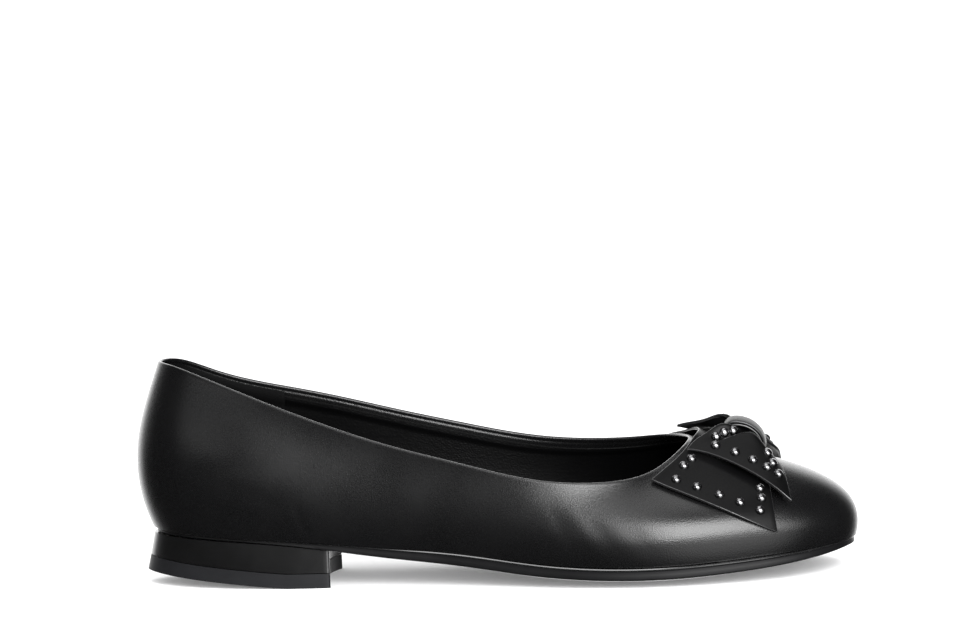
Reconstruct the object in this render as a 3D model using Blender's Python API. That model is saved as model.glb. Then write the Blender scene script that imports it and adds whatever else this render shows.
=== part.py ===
"""Low-heeled ballet flat for the right foot, with a studded leather bow on its vamp.

Metres, +Z up. The toe points to +X and the outer side of the foot is at -Y. The origin is on the
floor, in the middle of the heel's flat spot. The upper is one lasted shell, open at the collar and
underneath, where the outsole closes it.
"""

import math

import bmesh
import bpy
import numpy as np
from mathutils import Quaternion, Vector
from mathutils.bvhtree import BVHTree

# Last
LAST_LENGTH = 0.2427
BALL_WIDTH = 0.0780
BACK_HEIGHT = 0.0580
INSTEP_HEIGHT = 0.0394
SEAT_HEIGHT = 0.0196
TOE_HEIGHT = 0.0107

# Upper
WALL = 0.0014
LASTING_MARGIN = 0.0105
GAP = 0.0003

# Outsole and insole
SOLE_THICKNESS = 0.0038
SOLE_PROJECTION = 0.0010
SOLE_CROWN = 0.0038
INSOLE_THICKNESS = 0.0022

# Heel
HEEL_LENGTH = 0.0640
HEEL_INSET = 0.0003
BREAST_HOLLOW = 0.0045
TOP_PIECE = 0.0053
HEEL_TAPER = 0.0025
BLOCK_FLARE = 0.0016
TOP_PIECE_FLARE = 0.0028
HEEL_BACK_LIFT = 0.0050
HEEL_FLAT = 0.0151

# Bow: its knot's place along the last, the length of a lower wing's outer edge, and the knot's
# height over the vamp
KNOT_ALONG = 0.8485
BOW_SPREAD = 0.0430
KNOT_HEIGHT = 0.0120
KNOT_TURN = 8.5
STRIP = 0.0011
BAND = 0.0020
BOW_GAP = 0.0004

# Studs
STUD_DIAMETER = 0.0035
STUD_HEIGHT = 0.0016
STUD_INSET = 0.0052
SIDE_INSET = 0.0042
STUD_SEARCH = 0.0030

# Mesh fineness
ROUND = 84
WALL_ROWS = 11
HEEL_BACK_STEPS = 16
HEEL_FLAT_STEPS = 4
BREAST_STEPS = 8
STUD_SIDES = 8
LOWER_STEPS = (21, 7)
UPPER_STEPS = (29, 15)
KNOT_ROUND = 26
KNOT_COLUMNS = 3

# How a strip's turn grows from its rear edge to its front (1 is even, more is late), and how full
# its hump is: 2 is a round arch, more has steeper edges
LOWER_FORM = (1.0, 2)
UPPER_FORM = (1.6, 4)
# How late a pleat dips on its way from a strip's rear edge to its lip: 1 is evenly, more makes the
# lip sharper. How far the strip rises ahead of the lip, as a share of the pleat's depth.
PLEAT_LATE = 2.2
PLEAT_RISE = 0.3

# Heights of the outsole's upper edge. along is a share of the last's length, and height a share
# of the seat's height behind the ball and of the toe's ahead of it.
BOTTOM_PROFILE = (
    # name, along, height, of
    ("back", 0.00, 1.000, "seat"),
    ("seat", 0.12, 0.898, "seat"),
    ("breast", 0.26, 0.790, "seat"),
    ("shank", 0.35, 0.690, "seat"),
    ("waist", 0.45, 0.582, "seat"),
    ("tread_back", 0.56, 0.413, "seat"),
    ("ball", 0.65, 0.342, "seat"),
    ("tread", 0.74, 0.626, "toe"),
    ("tread_front", 0.83, 0.720, "toe"),
    ("toe_spring", 0.92, 0.860, "toe"),
    ("toe", 1.00, 1.000, "toe"),
)

# The outsole's edge: its thickness as a share of the full one, how far it stands out from the
# upper as a share of the full projection (below 0 it is tucked in), and how much of the
# crosswise crown its underside has.
SOLE_EDGE = (
    # name, along, thickness, projection, crown
    ("back", 0.00, 0.36, -1.20, 0.00),
    ("heel", 0.20, 0.36, -1.20, 0.00),
    ("breast", 0.27, 0.62, -0.50, 0.05),
    ("shank", 0.38, 0.88, 0.10, 0.30),
    ("waist", 0.48, 1.00, 0.60, 0.70),
    ("ball", 0.63, 1.00, 1.00, 1.00),
    ("tread", 0.80, 1.00, 1.00, 0.95),
    ("toe_spring", 0.92, 0.85, 1.00, 0.50),
    ("toe", 1.00, 0.62, -0.60, 0.20),
)

# One row for each section of the upper, from the back seam round the outer side to the toe and
# back along the inner side. foot_* is where its wall meets the sole and top_* its edge at the
# collar. along is a share of the last's length and side of the ball width. top_rise is the
# collar's height over the sole, a share of the back height or of the instep height. lean and
# flare are the wall's angles in degrees: lean downwards from level at the collar, flare upwards
# from level at the sole. top_pull and foot_pull say how far the wall keeps those directions, as
# shares of its chord.
SECTIONS = (
    # name, foot_along, foot_side, top_along, top_side, top_rise, of, lean, flare, pulls
    ("back", 0.000, 0.000, 0.0157, 0.000, 1.000, "back", 70, 66, 0.34, 0.42),
    ("outer_counter", 0.030, -0.162, 0.0380, -0.141, 0.998, "back", 72, 66, 0.34, 0.41),
    ("outer_heel", 0.100, -0.273, 0.0980, -0.244, 0.936, "back", 77, 67, 0.35, 0.40),
    ("outer_quarter", 0.210, -0.326, 0.2090, -0.308, 0.778, "back", 84, 67, 0.35, 0.40),
    ("outer_shank", 0.340, -0.346, 0.3400, -0.352, 0.629, "back", 86, 66, 0.35, 0.40),
    ("outer_waist", 0.480, -0.397, 0.4800, -0.404, 0.531, "back", 84, 66, 0.35, 0.40),
    ("outer_ball", 0.610, -0.473, 0.5880, -0.426, 0.728, "instep", 75, 68, 0.36, 0.40),
    ("outer_tread", 0.735, -0.497, 0.6790, -0.391, 0.744, "instep", 60, 70, 0.38, 0.42),
    ("outer_vamp", 0.860, -0.417, 0.7340, -0.288, 0.825, "instep", 42, 72, 0.40, 0.42),
    ("outer_toe", 0.955, -0.268, 0.7650, -0.141, 0.943, "instep", 26, 73, 0.46, 0.35),
    ("toe", 1.008, 0.032, 0.7755, 0.006, 1.000, "instep", 16, 75, 0.51, 0.33),
    ("inner_toe", 0.960, 0.298, 0.7650, 0.154, 0.988, "instep", 25, 73, 0.46, 0.35),
    ("inner_vamp", 0.870, 0.404, 0.7340, 0.295, 0.957, "instep", 40, 72, 0.40, 0.42),
    ("inner_tread", 0.750, 0.472, 0.6830, 0.378, 0.916, "instep", 58, 70, 0.38, 0.42),
    ("inner_ball", 0.620, 0.430, 0.5920, 0.404, 0.891, "instep", 74, 68, 0.36, 0.40),
    ("inner_waist", 0.480, 0.320, 0.4730, 0.378, 0.627, "back", 86, 58, 0.36, 0.42),
    ("inner_shank", 0.340, 0.273, 0.3400, 0.340, 0.712, "back", 86, 56, 0.36, 0.42),
    ("inner_quarter", 0.210, 0.290, 0.2090, 0.301, 0.806, "back", 83, 62, 0.36, 0.40),
    ("inner_heel", 0.100, 0.254, 0.0980, 0.240, 0.903, "back", 77, 65, 0.35, 0.40),
    ("inner_counter", 0.030, 0.154, 0.0380, 0.141, 0.991, "back", 72, 65, 0.34, 0.41),
)

# One row for each crosswise line of a bow strip, from its outer edge on the outer side of the foot
# to the knot; the other side repeats them. rear and front are the strip's edges, measured from
# the knot along the shoe as shares of the bow's spread. The turns are in degrees round the vamp
# from its ridge. The lifts are the strip's height over the vamp, as shares of the knot's height.
# pleat is how deep its fold is, also a share of that height, and lip where the fold ends, as a
# share of the way from the rear edge to the front.
LOWER_STRIP = (
    # name, rear, rear_turn, rear_lift, front, front_turn, front_lift, middle_lift, pleat, lip
    ("edge", -0.702, 52.6, 0.08, 0.293, 83.6, 0.09, 0.09, 0.0, 0.5),
    ("wing", -0.590, 42.0, 0.06, 0.258, 65.0, 0.06, 0.06, 0.0, 0.5),
    ("shoulder", -0.462, 27.0, 0.09, 0.215, 43.0, 0.05, 0.05, 0.0, 0.5),
    ("neck", -0.379, 12.0, 0.20, 0.140, 20.0, 0.05, 0.06, 0.0, 0.5),
    ("middle", -0.349, 0.0, 0.22, 0.105, 0.0, 0.05, 0.06, 0.0, 0.5),
)
UPPER_STRIP = (
    ("edge", -0.426, 27.5, 0.20, 0.407, 64.0, 0.29, 0.33, 0.00, 0.20),
    ("wing", -0.365, 21.5, 0.34, 0.360, 45.0, 0.32, 0.42, 0.02, 0.22),
    ("shoulder", -0.265, 16.5, 0.54, 0.300, 29.0, 0.30, 0.55, 0.14, 0.35),
    ("flare", -0.150, 12.8, 0.76, 0.190, 17.0, 0.38, 0.74, 0.34, 0.58),
    ("neck", -0.070, 9.4, 0.60, 0.124, 10.4, 0.46, 0.65, 0.12, 0.70),
    ("middle", -0.070, 0.0, 0.46, 0.122, 0.0, 0.43, 0.63, 0.00, 0.70),
)
# How far back the strips' inner edge lies, for the bow sits a little askew
BOW_SKEW = 0.115

# The knot band's loop, seen from the side: places along the shoe as shares of the bow's spread,
# heights over the vamp as shares of the knot's height.
KNOT_LOOP = (
    # name, along, lift
    ("under_rear", -0.092, 0.250),
    ("rear", -0.132, 0.480),
    ("top_rear", -0.098, 0.725),
    ("top", -0.028, 0.855),
    ("top_front", 0.070, 0.850),
    ("front_high", 0.147, 0.675),
    ("front", 0.173, 0.430),
    ("under_front", 0.125, 0.250),
)

# The studs of a wing: the row they stand in and their share of the way along it. The edge row runs
# from the rear corner to the front one, and the others from the edge row to the knot.
LOWER_STUDS = (
    ("edge", 0.15), ("edge", 0.33), ("edge", 0.525), ("edge", 0.70), ("edge", 0.87),
    ("rear", 0.24), ("rear", 0.37), ("front", 0.14), ("front", 0.25),
)
UPPER_STUDS = (
    ("edge", 0.24), ("edge", 0.45), ("edge", 0.64), ("edge", 0.79), ("edge", 0.91),
    ("rear", 0.23), ("rear", 0.37), ("rear", 0.525), ("front", 0.13), ("front", 0.28),
)

# The back of the foot line, measured from the origin, so that the heel's breast and its flat
# spot lie around the origin.
BACK_X = HEEL_FLAT / 2 - HEEL_LENGTH


def spline_slopes(knots, values, closed):
    """Slopes of a cubic spline at its knots, smooth in its bend; a closed one joins round."""
    count = len(knots)
    span = np.append(knots, 1.0 + knots[0]) if closed else knots
    steps = np.diff(span)
    ahead = np.roll(values, -1, axis=0)[: len(steps)]
    rises = (ahead - values[: len(steps)]) / steps[:, None]
    system = np.zeros((count, count))
    target = np.zeros_like(values)
    for i in range(count):
        if closed or i > 0:
            system[i, i - 1] += 1.0 / steps[i - 1]
            system[i, i] += 2.0 / steps[i - 1]
            target[i] += 3.0 * rises[i - 1] / steps[i - 1]
        if closed or i < count - 1:
            system[i, i] += 2.0 / steps[i]
            system[i, (i + 1) % count] += 1.0 / steps[i]
            target[i] += 3.0 * rises[i] / steps[i]
    return np.linalg.solve(system, target)


def spline(knots, values, at, closed=False):
    """Smooth curve through rows of values at rising knots; a closed one runs from 0 round to 1."""
    knots = np.asarray(knots, float)
    values = np.asarray(values, float).reshape(len(knots), -1)
    slopes = spline_slopes(knots, values, closed)
    at = np.atleast_1d(np.asarray(at, float))
    if closed:
        at = np.mod(at, 1.0)
    last = len(knots) - 1 if closed else len(knots) - 2
    index = np.clip(np.searchsorted(knots, at, side="right") - 1, 0, last)
    ahead = (index + 1) % len(knots)
    end = np.where(ahead == 0, 1.0, knots[ahead])
    step = (end - knots[index])[:, None]
    u = (at - knots[index])[:, None] / step
    return (
        values[index] * (1 - u) ** 2 * (1 + 2 * u)
        + values[ahead] * u**2 * (3 - 2 * u)
        + slopes[index] * step * u * (1 - u) ** 2
        - slopes[ahead] * step * u**2 * (1 - u)
    )


def x_of(along):
    return BACK_X + along * LAST_LENGTH


def along_of(x):
    return np.clip((np.asarray(x, float) - BACK_X) / LAST_LENGTH, 0.0, 1.0)


def sole_top(x):
    """Height of the outsole's upper edge at x."""
    heights = {"seat": SEAT_HEIGHT, "toe": TOE_HEIGHT}
    knots = [row[1] for row in BOTTOM_PROFILE]
    values = [row[2] * heights[row[3]] for row in BOTTOM_PROFILE]
    return spline(knots, values, along_of(x))[:, 0]


def sole_edge(x):
    """Thickness, projection and crown of the outsole's edge at x."""
    knots = [row[1] for row in SOLE_EDGE]
    scale = np.array([SOLE_THICKNESS, SOLE_PROJECTION, SOLE_CROWN])
    values = np.array([row[2:5] for row in SOLE_EDGE]) * scale
    return spline(knots, values, along_of(x)).T


def outward(curve):
    """Unit normals in plan, pointing out of a closed curve that starts at the back and runs
    along the outer side first."""
    along = np.roll(curve, -1, axis=0) - np.roll(curve, 1, axis=0)
    normal = np.c_[along[:, 1], -along[:, 0]]
    return normal / np.linalg.norm(normal, axis=1)[:, None]


def upper_lines(count):
    """The wall's sections as cubic curves: collar edge, its pull, the foot's pull and the foot."""
    rise_sizes = {"back": BACK_HEIGHT, "instep": INSTEP_HEIGHT}
    foot = np.array([(x_of(row[1]), row[2] * BALL_WIDTH) for row in SECTIONS])
    top = np.array([(x_of(row[3]), row[4] * BALL_WIDTH) for row in SECTIONS])
    rise = np.array([row[5] * rise_sizes[row[6]] for row in SECTIONS])
    angles = np.radians([row[7:9] for row in SECTIONS])
    pulls = np.array([row[9:11] for row in SECTIONS])
    walk = np.linalg.norm(np.roll(foot, -1, axis=0) - foot, axis=1)
    knots = np.concatenate([[0.0], np.cumsum(walk)[:-1]]) / walk.sum()
    columns = np.c_[foot, top, rise, angles, pulls]
    dense = spline(knots, columns, np.arange(count) / count, closed=True)
    foot = np.c_[dense[:, 0:2], sole_top(dense[:, 0]) + GAP]
    top = np.c_[dense[:, 2:4], sole_top(dense[:, 2]) + dense[:, 4]]
    lean, flare = dense[:, 5:6], dense[:, 6:7]
    chord = np.linalg.norm(top - foot, axis=1)[:, None]
    top_way = np.c_[outward(top[:, :2]) * np.cos(lean), -np.sin(lean)]
    foot_way = np.c_[outward(foot[:, :2]) * np.cos(flare), np.sin(flare)]
    top_pull = top + top_way * dense[:, 7:8] * chord
    foot_pull = foot + foot_way * dense[:, 8:9] * chord
    return top, top_pull, foot_pull, foot


def wall_grid(lines, rows):
    """The upper's outer skin: rows of points from the collar edge to the foot line."""
    top, top_pull, foot_pull, foot = lines
    share = np.linspace(0.0, 1.0, rows)[:, None, None]
    back = 1.0 - share
    return (
        back**3 * top
        + 3 * back**2 * share * top_pull
        + 3 * back * share**2 * foot_pull
        + share**3 * foot
    )


def grid_normals(grid):
    """Outward unit normals of a grid of rows that close round the shoe."""
    around = np.roll(grid, -1, axis=1) - np.roll(grid, 1, axis=1)
    down = np.gradient(grid, axis=0)
    normals = np.cross(down, around)
    return normals / np.linalg.norm(normals, axis=2)[..., None]


def foot_ring(foot, inset):
    """The foot line drawn in towards the middle line by an inset (drawn out where it is negative)."""
    half = len(foot) // 2
    reach = BALL_WIDTH / 2
    middle_x = np.clip(foot[:, 0], foot[0, 0] + reach, foot[half, 0] - reach)
    outer, inner = foot[: half + 1], foot[half:]
    outer_y = np.interp(middle_x, outer[:, 0], outer[:, 1])
    inner_y = np.interp(middle_x, inner[::-1, 0], inner[::-1, 1])
    middle = np.c_[middle_x, (outer_y + inner_y) / 2]
    inward = middle - foot[:, :2]
    distance = np.linalg.norm(inward, axis=1)
    inset = np.broadcast_to(inset, distance.shape)
    ring = foot[:, :2] + inward * (inset / distance)[:, None]
    return ring, inset / distance


def bottom_ring(foot, inset, lift=0.0):
    """A ring on the last's bottom: the foot line drawn in, and as low as the crosswise crown."""
    ring, share = foot_ring(foot, inset)
    crown = sole_edge(ring[:, 0])[2]
    depth = crown * (1.0 - (1.0 - np.clip(share, 0.0, 1.0)) ** 2)
    return np.c_[ring, sole_top(ring[:, 0]) - depth + lift]


def add_object(name, points, faces, material, smooth_angle=40.0):
    mesh = bpy.data.meshes.new(name)
    mesh.from_pydata([tuple(p) for p in points], [], faces)
    build = bmesh.new()
    build.from_mesh(mesh)
    bmesh.ops.recalc_face_normals(build, faces=build.faces)
    bmesh.ops.triangulate(build, faces=[f for f in build.faces if len(f.verts) > 4])
    build.to_mesh(mesh)
    build.free()
    mesh.shade_smooth()
    mesh.set_sharp_from_angle(angle=math.radians(smooth_angle))
    mesh.materials.append(material)
    obj = bpy.data.objects.new(name, mesh)
    bpy.context.scene.collection.objects.link(obj)
    return obj


def band_faces(first, second, count):
    """Quads between two closed rings, given by the index of their first points."""
    return [
        (first + i, first + (i + 1) % count, second + (i + 1) % count, second + i)
        for i in range(count)
    ]


def stack_faces(rings, count):
    """Quads between each ring and the next."""
    return [face for k in range(rings - 1) for face in band_faces(k * count, (k + 1) * count, count)]


def cross_faces(first, count):
    """Faces that close a ring across, from each outer point to the inner one beside it."""
    faces = [(first, first + 1, first + count - 1)]
    half = count // 2
    for i in range(1, half - 1):
        faces.append((first + i, first + i + 1, first + count - i - 1, first + count - i))
    faces.append((first + half - 1, first + half, first + half + 1))
    return faces


def material(name, colour, roughness, metallic=0.0):
    made = bpy.data.materials.new(name)
    made.use_nodes = True
    shader = made.node_tree.nodes["Principled BSDF"]
    shader.inputs["Base Color"].default_value = (*colour, 1.0)
    shader.inputs["Roughness"].default_value = roughness
    shader.inputs["Metallic"].default_value = metallic
    return made


def make_upper(lines, leather):
    """The lasted shell: outer skin, rounded collar edge, inner skin and the margin turned in."""
    foot = lines[3]
    skin = wall_grid(lines, WALL_ROWS)
    inner = skin - WALL * grid_normals(skin)
    edge_rise = np.array([0.0, 0.0, WALL * 0.35])
    collar_edge = (skin[0] + inner[0]) / 2 + edge_rise
    rings = [collar_edge, *skin]
    rings.append(bottom_ring(foot, LASTING_MARGIN, GAP))
    rings.append(bottom_ring(foot, LASTING_MARGIN, GAP + WALL))
    rings.append(bottom_ring(foot, WALL * 1.25, GAP + WALL))
    rings.extend(inner[-2::-1])
    points = np.concatenate(rings)
    faces = stack_faces(len(rings), ROUND) + band_faces((len(rings) - 1) * ROUND, 0, ROUND)
    return add_object("upper", points, faces, leather)


def make_outsole(foot, rubber):
    """Full-length sole: its top follows the last's bottom and its underside has a crown."""
    projection = sole_edge(foot[:, 0])[1]
    shoulder = np.maximum(-projection, 0.0) + SOLE_PROJECTION
    insets = (-projection, shoulder, LASTING_MARGIN, LASTING_MARGIN * 1.7)
    upper_side = [bottom_ring(foot, inset) for inset in insets]
    lower_side = []
    for ring in upper_side:
        under = ring.copy()
        under[:, 2] = np.maximum(under[:, 2] - sole_edge(ring[:, 0])[0], 0.0)
        lower_side.append(under)
    rings = upper_side[::-1] + lower_side
    points = np.concatenate(rings)
    faces = stack_faces(len(rings), ROUND)
    faces += cross_faces(0, ROUND) + cross_faces((len(rings) - 1) * ROUND, ROUND)
    return add_object("outsole", points, faces, rubber)


def make_insole(foot, lining):
    """Board and sock: it lies on the lasting margin and fills the sole's middle inside it."""
    over_margin = GAP + WALL + GAP
    inside_margin = LASTING_MARGIN + GAP
    top = over_margin + INSOLE_THICKNESS
    edge_inset = WALL * 1.25 + GAP
    rings = [
        bottom_ring(foot, LASTING_MARGIN * 1.7, top),
        bottom_ring(foot, LASTING_MARGIN, top),
        bottom_ring(foot, edge_inset, top),
        bottom_ring(foot, edge_inset, over_margin),
        bottom_ring(foot, inside_margin, over_margin),
        bottom_ring(foot, inside_margin, GAP),
        bottom_ring(foot, LASTING_MARGIN * 1.7, GAP),
    ]
    points = np.concatenate(rings)
    faces = stack_faces(len(rings), ROUND)
    faces += cross_faces(0, ROUND) + cross_faces((len(rings) - 1) * ROUND, ROUND)
    return add_object("insole", points, faces, lining)


def heel_outline(foot):
    """Plan of the heel: round the seat from the inner breast corner to the outer one, then back
    across the breast in a hollow curve."""
    breast_x = BACK_X + HEEL_LENGTH
    forward = np.clip((foot[:, 0] - BACK_X) / HEEL_LENGTH, 0.0, 1.0)
    ring, _ = foot_ring(foot, HEEL_INSET + HEEL_TAPER * forward**2)
    half = len(ring) // 2
    outer, inner = ring[: half + 1], np.r_[ring[half:], ring[:1]][::-1]
    flat_back = -HEEL_FLAT / 2
    share = np.linspace(0.0, 1.0, HEEL_BACK_STEPS + 1) ** 1.6
    behind_flat = outer[0, 0] + (flat_back - outer[0, 0]) * share
    beside_flat = np.linspace(flat_back, breast_x, HEEL_FLAT_STEPS + 1)
    x_side = np.r_[behind_flat, beside_flat[1:]]
    outer_y = np.interp(x_side, outer[:, 0], outer[:, 1])
    inner_y = np.interp(x_side, inner[:, 0], inner[:, 1])
    sides = np.r_[np.c_[x_side, inner_y][:0:-1], np.c_[x_side, outer_y]]
    across = np.linspace(0.0, 1.0, BREAST_STEPS + 1)[1:-1]
    breast_y = outer_y[-1] + (inner_y[-1] - outer_y[-1]) * across
    breast = np.c_[breast_x - BREAST_HOLLOW * 4 * across * (1 - across), breast_y]
    return np.r_[sides, breast]


def floor_lift(x):
    """Height of the heel's underside at x: flat under its front, and rising to the back."""
    flat_back = -HEEL_FLAT / 2
    behind = np.clip((flat_back - x) / (flat_back - BACK_X), 0.0, None)
    return HEEL_BACK_LIFT * behind**1.1


def heel_faces(points, first):
    """Faces over the heel's plan: strips across it behind the flat spot, and the spot filled."""
    back = HEEL_BACK_STEPS + HEEL_FLAT_STEPS
    faces = [(first + back, first + back - 1, first + back + 1)]
    for k in range(1, HEEL_BACK_STEPS):
        inner, outer = first + back - k, first + back + k
        faces.append((inner, inner - 1, outer + 1, outer))
    spot = [*range(HEEL_FLAT_STEPS + 1), *range(back + HEEL_BACK_STEPS, len(points))]
    build = bmesh.new()
    corners = [build.verts.new((*points[i], 0.0)) for i in spot]
    build.verts.index_update()
    edges = [build.edges.new((corners[i - 1], corners[i])) for i in range(len(corners))]
    bmesh.ops.triangle_fill(build, use_beauty=True, edges=edges)
    faces += [tuple(first + spot[corner.index] for corner in face.verts) for face in build.faces]
    build.free()
    return faces


def make_heel_layer(name, plan, look, upper, lower):
    """One layer of the heel between two faces, each with its height as a function of x and the
    length by which its back stands out."""
    forward = (plan[:, 0] - plan[:, 0].min()) / (plan[:, 0].max() - plan[:, 0].min())
    rings = []
    for height, flare in (upper, lower):
        x = plan[:, 0] - flare * (1.0 - forward) ** 2
        rings.append(np.c_[x, plan[:, 1], height(plan[:, 0])])
    count = len(plan)
    faces = stack_faces(2, count) + heel_faces(plan, 0) + heel_faces(plan, count)
    return add_object(name, np.concatenate(rings), faces, look)


class Vamp:
    """The upper's outer skin, carried on past the collar edge, and read round an axis that runs
    along the shoe inside the vamp."""

    def __init__(self, skin):
        past_edge = skin[0] + 2.0 * (skin[0] - skin[1])
        rings = np.concatenate([past_edge[None], skin])
        points = [Vector(p) for p in rings.reshape(-1, 3)]
        self.tree = BVHTree.FromPolygons(points, stack_faces(len(rings), ROUND))
        self.axis_height = SEAT_HEIGHT * 0.7

    def place(self, x, turn, lift):
        """The point at x, turned from the ridge towards the outer side, lifted off the skin."""
        way = Vector((0.0, -math.sin(turn), math.cos(turn)))
        start = Vector((x, 0.0, self.axis_height))
        hit, _, _, _ = self.tree.ray_cast(start + way * BALL_WIDTH, -way)
        return np.array(hit + way * lift)


def strip_columns(rows, across):
    """The strip's columns at places across the bow, from -1 at the outer side to 1 at the inner."""
    table = np.array([row[1:] for row in rows])
    there = np.linspace(-1.0, 0.0, len(rows))
    mirrored = table.copy()
    mirrored[:, [1, 4]] *= -1.0
    mirrored[:, [0, 3]] -= BOW_SKEW * there[:, None] ** 2
    knots = np.r_[there, -there[-2::-1]]
    return spline(knots, np.r_[table, mirrored[-2::-1]], across)


def strip_point(vamp, columns, share, form):
    """A point of the strip at a share of its width from rear to front."""
    sweep, fullness = form
    rear, rear_turn, rear_lift, front, front_turn, front_lift, middle_lift, pleat, lip = columns
    x = x_of(KNOT_ALONG) + BOW_SPREAD * (rear + (front - rear) * share)
    turn = rear_turn + (front_turn - rear_turn) * share**sweep
    hump = 1.0 - abs(2.0 * share - 1.0) ** fullness
    straight = rear_lift + (front_lift - rear_lift) * share
    lift = straight + (middle_lift - (rear_lift + front_lift) / 2) * hump
    if share < lip:
        lift -= pleat * math.sin(math.pi * (max(share, 0.0) / lip) ** PLEAT_LATE)
    else:
        lift += pleat * PLEAT_RISE * math.sin(math.pi * (share - lip) / (1.0 - lip))
    return vamp.place(x, math.radians(turn), lift * KNOT_HEIGHT + BOW_GAP)


def strip_grid(vamp, rows, across, along, form):
    """Middle surface of a strip: rows across the bow, columns from its rear edge to its front."""
    return np.array([
        [strip_point(vamp, columns, share, form) for share in along]
        for columns in strip_columns(rows, across)
    ])


def sheet_normals(grid):
    """Unit normals of an open grid, away from the vamp."""
    normals = np.cross(np.gradient(grid, axis=1), np.gradient(grid, axis=0))
    return -normals / np.linalg.norm(normals, axis=2)[..., None]


def grid_faces(rows, columns, first, flip):
    """Quads of an open grid of points."""
    faces = []
    for i in range(rows - 1):
        for j in range(columns - 1):
            a = first + i * columns + j
            face = (a, a + 1, a + columns + 1, a + columns)
            faces.append(face[::-1] if flip else face)
    return faces


def add_sheet(name, grid, thickness, look):
    """A sheet of even thickness about a grid of points."""
    rows, columns, _ = grid.shape
    half = sheet_normals(grid) * thickness / 2
    points = np.concatenate([(grid + half).reshape(-1, 3), (grid - half).reshape(-1, 3)])
    count = rows * columns
    faces = grid_faces(rows, columns, 0, False) + grid_faces(rows, columns, count, True)
    rim = [j for j in range(columns)]
    rim += [i * columns + columns - 1 for i in range(1, rows)]
    rim += [(rows - 1) * columns + j for j in range(columns - 2, -1, -1)]
    rim += [i * columns for i in range(rows - 2, 0, -1)]
    faces += [(a, b, b + count, a + count) for a, b in zip(rim, rim[1:] + rim[:1])]
    return add_object(name, points, faces, look)


def make_knot(vamp, look):
    """The band round the bow's middle: a closed loop with a flat section."""
    table = np.array([row[1:] for row in KNOT_LOOP])
    knots = np.arange(len(table)) / len(table)
    loop = spline(knots, table, np.arange(KNOT_ROUND) / KNOT_ROUND, closed=True)
    x = x_of(KNOT_ALONG) + BOW_SPREAD * loop[:, 0]
    lift = KNOT_HEIGHT * loop[:, 1]
    flat = np.c_[x, lift]
    tangent = np.roll(flat, -1, axis=0) - np.roll(flat, 1, axis=0)
    outwards = np.c_[tangent[:, 1], -tangent[:, 0]] / np.linalg.norm(tangent, axis=1)[:, None]
    turns = np.radians(np.linspace(-KNOT_TURN, KNOT_TURN, KNOT_COLUMNS))
    outer, inner = flat - outwards * BAND / 2, flat + outwards * BAND / 2
    rings = [[vamp.place(x, turn, lift) for x, lift in outer] for turn in turns]
    rings += [[vamp.place(x, turn, lift) for x, lift in inner] for turn in turns[::-1]]
    faces = stack_faces(len(rings), KNOT_ROUND)
    faces += band_faces((len(rings) - 1) * KNOT_ROUND, 0, KNOT_ROUND)
    return add_object("bow_knot", np.concatenate(rings), faces, look)


def stud_mesh(look):
    """A domed stud on a short wall, standing on its base at the origin."""
    mesh = bpy.data.meshes.new("stud")
    build = bmesh.new()
    radius = STUD_DIAMETER / 2
    heights = [(1.0, 0.0), (1.0, 0.25), (0.72, 0.76)]
    rings = []
    for share, rise in heights:
        rings.append([
            build.verts.new((
                radius * share * math.cos(2.0 * math.pi * k / STUD_SIDES),
                radius * share * math.sin(2.0 * math.pi * k / STUD_SIDES),
                STUD_HEIGHT * rise,
            ))
            for k in range(STUD_SIDES)
        ])
    crown = build.verts.new((0.0, 0.0, STUD_HEIGHT))
    build.faces.new(rings[0][::-1])
    for lower, upper in zip(rings, rings[1:]):
        for k in range(STUD_SIDES):
            ahead = (k + 1) % STUD_SIDES
            build.faces.new((lower[k], lower[ahead], upper[ahead], upper[k]))
    for k in range(STUD_SIDES):
        build.faces.new((rings[-1][k], rings[-1][(k + 1) % STUD_SIDES], crown))
    build.to_mesh(mesh)
    build.free()
    mesh.shade_smooth()
    mesh.set_sharp_from_angle(angle=math.radians(50.0))
    mesh.materials.append(look)
    return mesh


def stud_place(tree, vamp, rows, form, side, row, share):
    """Where a stud stands on a strip, clear of the highest point under its rim, and its normal."""
    def surface(across, along):
        columns = strip_columns(rows, across * side)[0]
        return strip_point(vamp, columns, along, form)

    step = 0.02
    edge = surface(-1.0, 0.5)
    across = -1.0 + step * STUD_INSET / np.linalg.norm(surface(step - 1.0, 0.5) - edge)
    along = share
    if row != "edge":
        across *= 1.0 - share
        width = np.linalg.norm(surface(across, 1.0) - surface(across, 0.0))
        along = SIDE_INSET / width
        if row == "front":
            along = 1.0 - along
    here = surface(across, along)
    over = (surface(across + step, along) - surface(across - step, along)) / (2.0 * step)
    forward = (surface(across, along + step) - surface(across, along - step)) / (2.0 * step)
    normal = Vector(np.cross(forward, over)).normalized()
    normal *= math.copysign(1.0, normal.z)
    spoke = normal.orthogonal().normalized() * STUD_DIAMETER / 2
    quarter = Quaternion(normal, 2.0 * math.pi / (2 * STUD_SIDES))
    rise = STRIP / 2
    for share_out in (0.5, 1.0):
        for _ in range(2 * STUD_SIDES):
            spoke.rotate(quarter)
            start = Vector(here) + spoke * share_out + normal * STUD_SEARCH
            reach = tree.ray_cast(start, -normal, 2.0 * STUD_SEARCH)[3]
            if reach is not None:
                rise = max(rise, STUD_SEARCH - reach)
    return Vector(here) + normal * (rise + BOW_GAP), normal


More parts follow.
